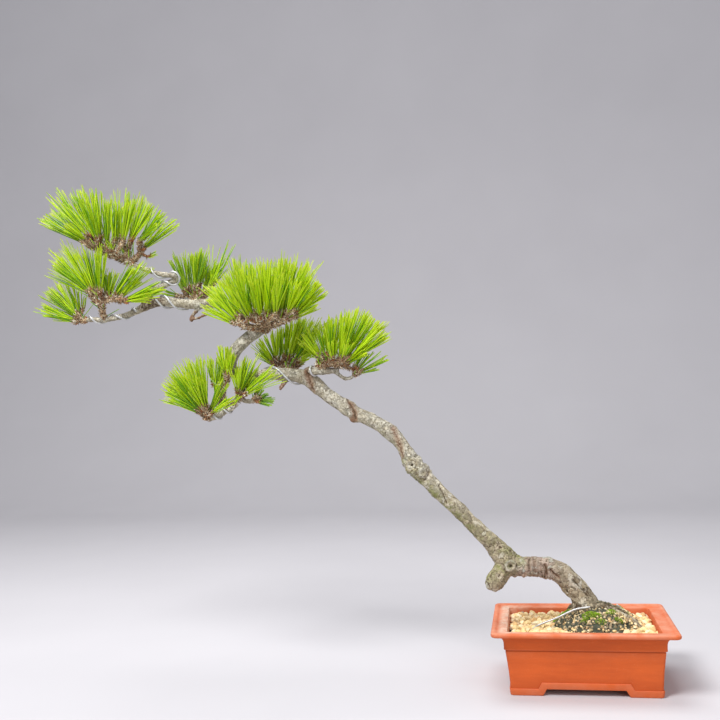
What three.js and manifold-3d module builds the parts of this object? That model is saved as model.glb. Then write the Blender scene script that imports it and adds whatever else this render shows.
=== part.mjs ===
// A leaning pine bonsai in a low rectangular clay pot, in millimetres, +Z up.
// Everything is laid out round the middle of the pot, with the feet at z = 0, and the finished group
// is shifted so that its origin is the middle of its bounding box, on the surface the pot stands on.
import * as THREE from 'three';
import { mergeVertices } from 'three/addons/utils/BufferGeometryUtils.js';
import Module from 'manifold-3d';

const wasm = await Module();
wasm.setup();

// ---------------------------------------------------------------- driving dimensions

const GAP = 0.3; // clearance between neighbouring pieces

const pot = {
  halfLength: 100, // rim, along X
  halfDepth: 77.5, // rim, along Y
  height: 71,
  cornerRadius: 7,
  floorUnderside: 7,
  floorTop: 14,
  lipThickness: 4.8,
  beadWidth: 5.5,
  ledgeInset: 17.5, // from the rim's edge to the opening
  ledgeDrop: 1.6,
  neckTopInset: 12,
  stepDepth: 21.3, // of the moulding step below the rim
  stepInset: 14.7,
  stepOverhang: 1.2,
  bodyBottomInset: 19.6,
  bandProud: 1,
  bandTopMiddle: 14.5, // height of the foot band between the feet
  bandTopFoot: 8, // and over the feet
  footReachX: 42, // half-width of the cut-out between the feet at its top, front and back
  footReachY: 23, // and at the ends
  footSlope: 4,
  footWall: 11,
};
const drain = { x: 40, radius: 9, sides: 16 };
const screen = { pitch: 7, bar: 2.4, thickness: 1.2, cells: 3 };
const soil = { top: 57.8, wallGap: 0.4 };
const mound = { x: 19, y: 0, halfLength: 48, halfDepth: 49, foot: 64.5, top: 85, sides: 18, seed: 11 };
const gravel = { spacing: 8, peak: 65, valley: 62.4, spread: 1.6, jitter: 0.9, underside: 6, seed: 23 };
const wire = { radius: 1.2, sides: 5, stepsPerTurn: 7, longestStep: 3.5, tieRadius: 0.9 };
const shoot = { core: 0.24, coreLimit: 14, foot: 1.6, bud: 3.3, top: 2.3 }; // its stem and bud
const needle = {
  radius: 0.75, // at the root
  angleAtTop: 6, // between a needle and its shoot, in degrees
  angleAtFoot: 42,
  perReach: 0.105, // needles on a shoot for each millimetre of its reach
  fewest: 5,
  shortest: 0.9, // as a share of the longest
  seed: 5,
};
const swing = { tries: 16, spreadStep: 2.2, turnStep: 0.1 }; // how a needle is turned aside

// ---------------------------------------------------------------- small helpers

const GOLDEN_ANGLE = Math.PI * (3 - Math.sqrt(5));

function vec(x, y, z) {
  return new THREE.Vector3(x, y, z);
}

function seededRandom(seed) {
  let state = seed >>> 0;
  return () => {
    state = (state + 0x6d2b79f5) >>> 0;
    let mixed = Math.imul(state ^ (state >>> 15), 1 | state);
    mixed = (mixed + Math.imul(mixed ^ (mixed >>> 7), 61 | mixed)) ^ mixed;
    return ((mixed ^ (mixed >>> 14)) >>> 0) / 4294967296;
  };
}

function indexedGeometry(points, triangles) {
  const geometry = new THREE.BufferGeometry();
  const numbers = points.flatMap((point) => [point.x, point.y, point.z]);
  geometry.setAttribute('position', new THREE.Float32BufferAttribute(numbers, 3));
  geometry.setIndex(triangles.flat());
  return geometry;
}

function toSolid(geometry) {
  const bare = geometry.clone();
  bare.deleteAttribute('normal');
  bare.deleteAttribute('uv');
  const merged = mergeVertices(bare, 1e-4);
  return new wasm.Manifold(new wasm.Mesh({
    numProp: 3,
    vertProperties: new Float32Array(merged.attributes.position.array),
    triVerts: new Uint32Array(merged.index.array),
  }));
}

function toGeometry(solid) {
  const mesh = solid.getMesh();
  const geometry = new THREE.BufferGeometry();
  geometry.setAttribute('position', new THREE.Float32BufferAttribute(mesh.vertProperties, 3));
  geometry.setIndex(Array.from(mesh.triVerts));
  geometry.computeVertexNormals();
  return geometry;
}

function join(solids) {
  return wasm.Manifold.union(solids);
}

// The largest body of a solid that a cut has left in pieces.
function mainBody(solid) {
  const bodies = solid.decompose();
  return bodies.reduce((best, body) => (body.volume() > best.volume() ? body : best));
}

function box(x0, x1, y0, y1, z0, z1) {
  const geometry = new THREE.BoxGeometry(x1 - x0, y1 - y0, z1 - z0);
  geometry.translate((x0 + x1) / 2, (y0 + y1) / 2, (z0 + z1) / 2);
  return toSolid(geometry);
}

// A closed stack of rings with the same number of points, each a list of Vector3 in turn round +Z.
function stack(rings) {
  const count = rings[0].length;
  const points = rings.flat();
  const triangles = [];
  for (let level = 0; level < rings.length - 1; level += 1) {
    for (let k = 0; k < count; k += 1) {
      const next = (k + 1) % count;
      const low = level * count;
      const high = low + count;
      triangles.push([low + k, low + next, high + next], [low + k, high + next, high + k]);
    }
  }
  const last = (rings.length - 1) * count;
  for (let k = 1; k < count - 1; k += 1) {
    triangles.push([0, k + 1, k], [last, last + k, last + k + 1]);
  }
  return indexedGeometry(points, triangles);
}

// ---------------------------------------------------------------- limbs: tapered, bent, round

// A limb runs along a smooth curve through stations [x, y, z, radius], with a ring at each station.
class Limb {
  constructor(stations, { sides = 5, relief = 0 } = {}) {
    const places = stations.map(([x, y, z]) => vec(x, y, z));
    this.curve = new THREE.CatmullRomCurve3(places, false, 'centripetal');
    this.radii = stations.map((station) => station[3]);
    this.sides = sides;
    this.relief = relief;
  }

  radiusAt(t) {
    const place = t * (this.radii.length - 1);
    const i = Math.min(Math.floor(place), this.radii.length - 2);
    return THREE.MathUtils.lerp(this.radii[i], this.radii[i + 1], place - i);
  }

  // Points along the limb with their frames: `across` turns as little as the curve allows. They lie
  // at the stations, or evenly along the curve where a count is given.
  samples(evenCount = null) {
    const count = evenCount ?? this.radii.length - 1;
    const result = [];
    let across = null;
    for (let i = 0; i <= count; i += 1) {
      const t = evenCount === null ? i / count : this.curve.getUtoTmapping(i / count);
      const along = this.curve.getTangent(t);
      if (across === null) {
        across = vec(0, 1, 0).cross(along);
        if (across.length() < 0.3) {
          across = vec(1, 0, 0).cross(along);
        }
      }
      across = across.clone().addScaledVector(along, -across.dot(along)).normalize();
      result.push({ t, along, across, point: this.curve.getPoint(t), radius: this.radiusAt(t) });
    }
    return result;
  }

  // Rough bark: a shallow three-lobed swelling that wanders along the limb.
  lobe(angle, i) {
    return 1 + this.relief * Math.sin(3 * angle + 1.7 * i) * Math.cos(0.9 * i);
  }

  geometry(extra = 0) {
    const samples = this.samples();
    const endShifts = samples.map(() => 0);
    endShifts[0] = -extra;
    endShifts[samples.length - 1] = extra;
    const rings = samples.map(({ point, along, across, radius }, i) => {
      const side = along.clone().cross(across);
      const middle = point.clone().addScaledVector(along, endShifts[i]);
      return Array.from({ length: this.sides }, (_, k) => {
        const angle = (k / this.sides) * Math.PI * 2;
        const reach = radius * this.lobe(angle, i) + extra;
        return middle.clone()
          .addScaledVector(across, reach * Math.cos(angle))
          .addScaledVector(side, reach * Math.sin(angle));
      });
    });
    return stack(rings);
  }

  solid(extra = 0) {
    return toSolid(this.geometry(extra));
  }
}

// ---------------------------------------------------------------- pot

// A ring with rounded corners, `inset` in from the rim's outline, at height z.
function potRing(inset, z, cornerRadius = Math.max(pot.cornerRadius - inset * 0.2, 3)) {
  const halfX = pot.halfLength - inset;
  const halfY = pot.halfDepth - inset;
  const cornerSteps = 3;
  const ring = [];
  for (let corner = 0; corner < 4; corner += 1) {
    const signX = corner === 0 || corner === 3 ? 1 : -1;
    const signY = corner < 2 ? 1 : -1;
    for (let i = 0; i <= cornerSteps; i += 1) {
      const angle = (corner + i / cornerSteps) * (Math.PI / 2);
      ring.push(vec(
        signX * (halfX - cornerRadius) + cornerRadius * Math.cos(angle),
        signY * (halfY - cornerRadius) + cornerRadius * Math.sin(angle),
        z,
      ));
    }
  }
  return ring;
}

const rimTop = pot.height;
const stepHeight = pot.height - pot.stepDepth;

// How far the inside wall stands in from the rim's outline, from the floor up to the opening.
const cavityProfile = [
  [27, pot.floorTop],
  [21.5, stepHeight],
  [pot.ledgeInset, rimTop - pot.ledgeDrop],
];

function cavityRing(z, extraInset = 0) {
  const upper = cavityProfile.findIndex(([, height]) => height >= z);
  const [insetHigh, high] = cavityProfile[upper < 0 ? cavityProfile.length - 1 : Math.max(upper, 1)];
  const [insetLow, low] = cavityProfile[upper < 0 ? cavityProfile.length - 2 : Math.max(upper, 1) - 1];
  const share = Math.min((z - low) / (high - low), 1);
  return potRing(THREE.MathUtils.lerp(insetLow, insetHigh, share) + extraInset, z);
}

function cavityBlock(bottom, top, extraInset) {
  const heights = [bottom, ...cavityProfile.map(([, z]) => z).filter((z) => z > bottom && z < top), top];
  return toSolid(stack(heights.map((z) => cavityRing(z, extraInset))));
}

function drainHole(x) {
  const length = 2 * (pot.floorTop - pot.floorUnderside);
  const geometry = new THREE.CylinderGeometry(drain.radius, drain.radius, length, drain.sides);
  geometry.rotateX(Math.PI / 2);
  geometry.translate(x, 0, (pot.floorUnderside + pot.floorTop) / 2);
  return toSolid(geometry);
}

// A bar with sloped ends that runs right through the pot between its feet, along X or along Y.
function footCut(halfTop, alongX) {
  const length = 2 * pot.halfLength + 20;
  const shape = new THREE.Shape([
    new THREE.Vector2(-halfTop - pot.footSlope, -1),
    new THREE.Vector2(halfTop + pot.footSlope, -1),
    new THREE.Vector2(halfTop, pot.floorUnderside),
    new THREE.Vector2(-halfTop, pot.floorUnderside),
  ]);
  const geometry = new THREE.ExtrudeGeometry(shape, { depth: length, bevelEnabled: false });
  geometry.translate(0, 0, -length / 2);
  geometry.rotateX(Math.PI / 2);
  if (alongX) {
    geometry.rotateZ(Math.PI / 2);
  }
  return toSolid(geometry);
}

function makePot() {
  const body = toSolid(stack([
    potRing(pot.bodyBottomInset, 0),
    potRing(pot.stepInset, stepHeight),
    potRing(pot.stepInset - pot.stepOverhang, stepHeight + 0.6),
    potRing(pot.stepInset - pot.stepOverhang, stepHeight + 2.4),
    potRing(pot.neckTopInset, rimTop - 7.4),
    potRing(pot.neckTopInset - 2.4, rimTop - 5.8),
    potRing(2.4, rimTop - pot.lipThickness - 0.3),
    potRing(0.5, rimTop - pot.lipThickness + 0.4),
    potRing(0, rimTop - 1.4),
    potRing(1.4, rimTop),
    potRing(pot.beadWidth - 1, rimTop),
    potRing(pot.beadWidth + 0.4, rimTop - pot.ledgeDrop * 0.7),
    potRing(pot.ledgeInset - 1, rimTop - pot.ledgeDrop),
  ]));
  const cavity = toSolid(stack([
    ...cavityProfile.slice(0, 2).map(([inset, z]) => potRing(inset, z)),
    potRing(pot.ledgeInset, rimTop - pot.ledgeDrop - 1.5),
    potRing(pot.ledgeInset, rimTop + 4),
  ]));
  const bandInset = pot.bodyBottomInset - pot.bandProud;
  const bandTaper = (pot.bodyBottomInset - pot.stepInset) * (pot.bandTopMiddle / stepHeight);
  const band = toSolid(stack([
    potRing(bandInset, 0),
    potRing(bandInset - bandTaper, pot.bandTopMiddle),
  ]));
  const reachX = pot.footReachX + pot.footSlope;
  const reachY = pot.footReachY + pot.footSlope;
  const far = pot.halfLength;
  const shoulders = [[1, 1], [1, -1], [-1, 1], [-1, -1]].map(([signX, signY]) => {
    const x = [signX * reachX, signX * far].sort((a, b) => a - b);
    const y = [signY * reachY, signY * far].sort((a, b) => a - b);
    return box(x[0], x[1], y[0], y[1], pot.bandTopFoot, pot.bandTopMiddle + 1);
  });
  const recess = pot.bodyBottomInset + pot.footWall;
  const recessX = pot.halfLength - recess;
  const recessY = pot.halfDepth - recess;
  return body
    .add(band.subtract(join(shoulders)))
    .subtract(cavity)
    .subtract(join([
      footCut(pot.footReachX, false),
      footCut(pot.footReachY, true),
      box(-recessX, recessX, -recessY, recessY, -1, pot.floorUnderside),
      drainHole(-drain.x),
      drainHole(drain.x),
    ]));
}

// A square of plastic mesh with its middle opening over the middle of a drain hole.
function makeScreen(x) {
  const low = pot.floorTop + GAP;
  const high = low + screen.thickness;
  const square = (middleX, middleY, half, extra) => (
    box(middleX - half, middleX + half, middleY - half, middleY + half, low - extra, high + extra)
  );
  const first = -((screen.cells - 1) / 2) * screen.pitch;
  const openings = [];
  for (let i = 0; i < screen.cells; i += 1) {
    for (let j = 0; j < screen.cells; j += 1) {
      const half = (screen.pitch - screen.bar) / 2;
      openings.push(square(x + first + i * screen.pitch, first + j * screen.pitch, half, 1));
    }
  }
  return square(x, 0, (screen.cells * screen.pitch + screen.bar) / 2, 0).subtract(join(openings));
}

// ---------------------------------------------------------------- the grown wood

// The trunk's stations, from the root stock in the soil over the pot's left rim to the far fork.
const trunkStations = [
  [12, 2, 34, 5],
  [11, 2, 46, 10],
  [10, 1, 60, 15],
  [8, 0, 74, 17.5],
  [5, 0, 86, 16],
  [1, 0, 97, 13.6],
  [-7, -1, 108, 13.2],
  [-15, -3, 118, 12.4],
  [-26, -4, 126, 12.2],
  [-38, -5, 130, 12.4],
  [-51, -6, 131, 12],
  [-64, -6, 131, 11.6],
  [-77, -6, 134, 13.4],
  [-86, -7, 145, 13],
  [-94, -7, 155, 11.6],
  [-103, -8, 165, 10.4],
  [-113, -8, 175, 9.2],
  [-123, -9, 186, 8.8],
  [-132, -9, 195, 9.3],
  [-142, -10, 205, 9],
  [-152, -10, 215, 8.8],
  [-162, -10, 225, 9.6],
  [-171, -9, 235, 9.2],
  [-179, -8, 245, 11],
  [-188, -7, 256, 9.6],
  [-195, -6, 268, 8.7],
  [-203, -4, 280, 8.6],
  [-213, -3, 290, 9.1],
  [-225, -1, 299, 8.6],
  [-237, 0, 306, 9.2],
  [-250, 1, 312, 8.4],
  [-263, 2, 319, 9.3],
  [-276, 3, 328, 8.7],
  [-288, 5, 336, 8.6],
  [-299, 6, 346, 9.3],
  [-310, 7, 355, 9.4],
  [-321, 8, 361, 9.2],
  [-334, 8, 364, 8.8],
  [-350, 7, 365, 8.2],
  [-366, 5, 365, 7.4],
  [-381, 2, 363, 7],
  [-394, -2, 364, 7],
  [-404, -6, 370, 7.2],
  [-407, -8, 382, 7.5],
  [-401, -8, 395, 7.9],
  [-391, -6, 406, 8.1],
  [-380, -1, 416, 8],
  [-371, 6, 424, 7.6],
  [-366, 16, 432, 7.2],
  [-372, 24, 442, 6.8],
  [-390, 26, 450, 6.4],
  [-411, 22, 455, 6.2],
  [-433, 15, 458, 6],
  [-460, 10, 458, 6],
  [-484, 8, 461, 6.3],
  [-502, 5, 463, 6.5],
  [-515, 3, 461, 7],
  [-524, 2, 457, 6.4],
];

const limbStations = {
  cutStub: [
    [-80, -6, 134, 11], [-87, -10, 126, 11.4], [-92, -12, 119, 11.6], [-95.5, -13, 113.5, 11.2],
    [-98, -14, 109, 9], [-99.5, -14.5, 105, 5.2],
  ],
  lowLeft: [
    [-520, 3, 459, 5.5], [-529, 2, 454, 5], [-536, 1, 451, 4.2], [-545, 0, 448, 3.6], [-559, -2, 445, 3.5],
    [-574, -3, 443, 3.4], [-589, -4, 444, 3.2], [-598, -5, 444, 2.8],
  ],
  upper: [
    [-515, 3, 461, 5.5], [-515, 1, 469, 4.6], [-511, 0, 476, 4.2], [-498, -2, 481, 4], [-485, -2, 486, 3.8],
    [-477, -4, 489, 3.6], [-478, -8, 493, 3.4], [-486, -9, 494, 3.2], [-502, -8, 498, 3], [-515, -7, 503, 3],
    [-524, -6, 507, 2.9], [-535, -6, 513, 2.8],
  ],
  right: [
    [-314, 7, 359, 6], [-313, 2, 366, 5], [-304, -4, 367, 4.6], [-294, -7, 366, 4.4], [-282, -9, 366, 4],
    [-271, -10, 367, 3.4],
  ],
  rightTwig: [
    [-278, -10, 366, 2.6], [-270, -12, 360, 2.2], [-263, -13, 356, 2.2], [-256, -13, 357, 2],
    [-252, -13, 360, 1.9],
  ],
  lowPad: [
    [-393, -2, 361, 4.8], [-393, -10, 349, 4.2], [-394, -17, 338, 4.1], [-401, -21, 328, 4], [-411, -22, 322, 4],
    [-422, -23, 316, 3.8], [-431, -23, 313, 3.2],
  ],
  lowPadRight: [[-394, -17, 337, 3], [-385, -18, 333, 3], [-377, -16, 333, 2.6]],
  deadStub: [[-336, 8, 361, 4], [-343, 6, 355, 2.7], [-347, 5, 349, 2.5], [-349, 5, 346, 1.5]],
  deadTwig: [[-451, 11, 455, 3], [-459, 9, 446, 2.4], [-463, 7, 438, 2.2], [-461, 7, 436, 1.6]],
  deadTwigFork: [[-463, 7, 439, 2], [-452, 6, 440, 1.9], [-442, 6, 444, 1.4]],
};

// Surface roots run out from the flare over the mound and dip into it.
const rootStations = [
  [[10, -4, 82, 8], [26, -8, 84, 6], [42, -12, 79, 4.6], [57, -16, 71, 3.4], [66, -18, 63, 2.4]],
  [[12, 4, 80, 8], [26, 16, 81, 5], [40, 27, 73, 3.6], [48, 35, 63, 2.4]],
  [[2, 8, 80, 8], [-6, 20, 79, 5], [-12, 33, 71, 3.4], [-16, 41, 62, 2.2]],
];

const trunkLimb = new Limb(trunkStations, { sides: 8, relief: 0.05 });
const limbs = Object.fromEntries(Object.entries(limbStations).map(([name, stations]) => (
  [name, new Limb(stations)]
)));
const rootLimbs = rootStations.map((stations) => new Limb(stations));

// The ring of callus round the old branch scar on the knob above the rim, and the hollow in it.
const scarBossStations = [[-77, -12, 134, 7.4], [-77.5, -18, 134.5, 6.6], [-78, -21.5, 135, 5]];
const scarHollowStations = [[-77.5, -15.5, 134.5, 2.2], [-78, -23, 135, 2.9]];
const scarBoss = new Limb(scarBossStations, { sides: 8 });
const scarHollow = new Limb(scarHollowStations, { sides: 6 });

function wood(extra) {
  const pieces = [trunkLimb, ...Object.values(limbs), ...rootLimbs, scarBoss];
  return join(pieces.map((limb) => limb.solid(extra)));
}

// ---------------------------------------------------------------- soil and gravel

// A ring round the root mound at a share of its full reach, and at height z.
function moundRing(share, z, extra, bump = () => 0) {
  return Array.from({ length: mound.sides }, (_, k) => {
    const angle = (k / mound.sides) * Math.PI * 2;
    const wander = 1 + 0.04 * Math.sin(3 * angle + 1) + 0.03 * Math.sin(5 * angle);
    return vec(
      mound.x + (mound.halfLength * share * wander + extra) * Math.cos(angle),
      mound.y + (mound.halfDepth * share * wander + extra) * Math.sin(angle),
      z + bump(),
    );
  });
}

// The mound stands upright where the gravel lies against it, and is domed above.
function makeMound() {
  const random = seededRandom(mound.seed);
  const bump = () => 1.8 * (random() - 0.5);
  const rise = mound.top - mound.foot;
  return toSolid(stack([
    moundRing(1, soil.top - 3, 0),
    moundRing(1, mound.foot, 0),
    moundRing(0.84, mound.foot + rise * 0.36, 0, bump),
    moundRing(0.6, mound.foot + rise * 0.72, 0, bump),
    moundRing(0.3, mound.foot + rise * 0.96, 0, bump),
  ]));
}

function makeSoil(keepOut) {
  const fill = cavityBlock(pot.floorTop + GAP, soil.top, soil.wallGap);
  const half = (screen.cells * screen.pitch + screen.bar) / 2 + GAP;
  const low = pot.floorTop;
  const pockets = [-drain.x, drain.x].map((x) => (
    box(x - half, x + half, -half, half, low, low + screen.thickness + 2 * GAP)
  ));
  return mainBody(fill.add(makeMound()).subtract(join([...pockets, keepOut])));
}

// Grains stand up from the bed as six-sided facets on a triangular grid: every third grid point is
// a grain's top, and the points round it lie in the valley between grains.
function makeGravel(keepOut) {
  const random = seededRandom(gravel.seed);
  const rowStep = gravel.spacing * Math.sqrt(3) / 2;
  const columns = Math.ceil((2 * pot.halfLength) / gravel.spacing) + 1;
  const rows = Math.ceil((2 * pot.halfDepth) / rowStep) + 1;
  const points = [];
  const bottom = soil.top - gravel.underside;
  for (let row = 0; row < rows; row += 1) {
    for (let column = 0; column < columns; column += 1) {
      const isTop = (((column - Math.floor(row / 2) - row) % 3) + 3) % 3 === 0;
      const x = -pot.halfLength + (column + 0.5 * (row % 2)) * gravel.spacing;
      const y = -pot.halfDepth + row * rowStep;
      const z = (isTop ? gravel.peak : gravel.valley) + gravel.spread * (random() - 0.5);
      points.push(vec(x + gravel.jitter * (random() - 0.5), y + gravel.jitter * (random() - 0.5), z));
    }
  }
  const under = points.length;
  points.push(...points.map((point) => vec(point.x, point.y, bottom)));
  const triangles = [];
  const at = (row, column) => row * columns + column;
  for (let row = 0; row < rows - 1; row += 1) {
    for (let column = 0; column < columns - 1; column += 1) {
      const a = at(row, column);
      const b = at(row, column + 1);
      const c = at(row + 1, column);
      const d = at(row + 1, column + 1);
      const faces = row % 2 === 0 ? [[a, b, c], [b, d, c]] : [[a, b, d], [a, d, c]];
      faces.forEach(([p, q, r]) => triangles.push([p, q, r], [under + p, under + r, under + q]));
    }
  }
  const upTo = (count) => Array.from({ length: count }, (_, i) => i);
  const edge = [
    ...upTo(columns - 1).map((column) => at(0, column)),
    ...upTo(rows - 1).map((row) => at(row, columns - 1)),
    ...upTo(columns - 1).map((column) => at(rows - 1, columns - 1 - column)),
    ...upTo(rows - 1).map((row) => at(rows - 1 - row, 0)),
  ];
  edge.forEach((p, i) => {
    const q = edge[(i + 1) % edge.length];
    triangles.push([under + p, under + q, q], [under + p, q, p]);
  });
  const relief = toSolid(indexedGeometry(points, triangles));
  const bed = cavityBlock(soil.top + GAP, rimTop, soil.wallGap);
  const hole = toSolid(stack([moundRing(1, bottom, GAP), moundRing(1, rimTop + 20, GAP)]));
  return mainBody(relief.intersect(bed).subtract(join([hole, keepOut])));
}

// ---------------------------------------------------------------- wires

// The tie-down wire: over the root mound, down through the soil and the left drain hole, along under
// the floor, and up through the right hole to the mound again.
const underFloor = pot.floorUnderside - wire.tieRadius - 1;
const tieWire = new Limb([
  [9, -21.5, 88],
  [-6, -21.5, 85.5],
  [-28, -21.5, 75.5],
  [-50, -20, 66],
  [-57, -18, 59],
  [-55, -10, 44],
  [-42.5, 0, 22],
  [-40, 0, 9],
  [-35, 0, underFloor],
  [0, 0, underFloor],
  [35, 0, underFloor],
  [40, 0, 9],
  [42.5, 0, 22],
  [56, 10, 46],
  [59, 14, 66],
  [42, 8, 84],
].map((place) => [...place, wire.tieRadius]));

// A wire wound on a limb, through places given as the curve's parameter and the turns made by then. Its
// path stands off the bark by the wire's radius and the gap, and a little more because its turns are made
// of straight steps.
function woundWire(limb, places) {
  const probes = limb.samples(120);
  const path = [];
  for (let k = 1; k < places.length; k += 1) {
    const [from, fromTurn] = places[k - 1];
    const [to, toTurn] = places[k];
    const byTurn = Math.round((toTurn - fromTurn) * wire.stepsPerTurn);
    const byLength = Math.round(((to - from) * limb.curve.getLength()) / wire.longestStep);
    const steps = Math.max(byTurn, byLength);
    const chord = 1 / Math.cos((Math.PI * (toTurn - fromTurn)) / steps);
    for (let i = path.length ? 1 : 0; i <= steps; i += 1) {
      const t = THREE.MathUtils.lerp(from, to, i / steps);
      const probe = probes.reduce((best, p) => (Math.abs(p.t - t) < Math.abs(best.t - t) ? p : best));
      const turn = THREE.MathUtils.lerp(fromTurn, toTurn, i / steps) * Math.PI * 2;
      const reach = (probe.radius * (1 + limb.relief) + GAP + wire.radius) * chord;
      const side = probe.along.clone().cross(probe.across);
      path.push(limb.curve.getPoint(t)
        .addScaledVector(probe.across, reach * Math.cos(turn))
        .addScaledVector(side, reach * Math.sin(turn)));
    }
  }
  return path;
}

function wireGeometry(path) {
  const samples = path.map((point, i) => {
    const before = path[Math.max(i - 1, 0)];
    const after = path[Math.min(i + 1, path.length - 1)];
    return { point, along: after.clone().sub(before).normalize() };
  });
  let across = vec(0, 1, 0.3).cross(samples[0].along).normalize();
  const rings = samples.map(({ point, along }) => {
    across = across.clone().addScaledVector(along, -across.dot(along)).normalize();
    const side = along.clone().cross(across);
    return Array.from({ length: wire.sides }, (_, k) => {
      const angle = (k / wire.sides) * Math.PI * 2;
      return point.clone()
        .addScaledVector(across, wire.radius * Math.cos(angle))
        .addScaledVector(side, wire.radius * Math.sin(angle));
    });
  });
  return stack(rings);
}

// The parameter of the limb's curve nearest to a given X, looking only between two shares of it.
function parameterAtX(limb, x, low = 0, high = 1) {
  let best = low;
  for (let i = 0; i <= 400; i += 1) {
    const t = THREE.MathUtils.lerp(low, high, i / 400);
    if (Math.abs(limb.curve.getPoint(t).x - x) < Math.abs(limb.curve.getPoint(best).x - x)) {
      best = t;
    }
  }
  return best;
}

const onTrunk = (x) => parameterAtX(trunkLimb, x, 0.9, 1);
const onBend = (x) => parameterAtX(trunkLimb, x, 0.6, 0.72);
const wirePaths = {
  training_wire_branch_a: woundWire(trunkLimb, [[onTrunk(-468), 0.117], [onTrunk(-506), 0.908]]),
  training_wire_branch_b: woundWire(trunkLimb, [[onTrunk(-470), 0.794], [onTrunk(-505), 1.52]]),
  training_wire_low_left: woundWire(limbs.lowLeft, [[0.2, 0.712], [0.95, 3.046]]),
  training_wire_upper: woundWire(limbs.upper, [
    [0.1, 0.46],
    [0.4, 1.96],
    [0.507, 2.12],
    [0.6, 2.29],
    [0.82, 3.4],
  ]),
  training_wire_bend: woundWire(trunkLimb, [[onBend(-320), 0.374], [onBend(-372), 1.162]]),
  training_wire_right: woundWire(limbs.right, [[0.3, 0], [0.48, 1.1]]),
  training_wire_low_pad: woundWire(limbs.lowPad, [[0.42, 0.55], [0.86, 2.75]]),
};

// ---------------------------------------------------------------- sprays of needles

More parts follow.
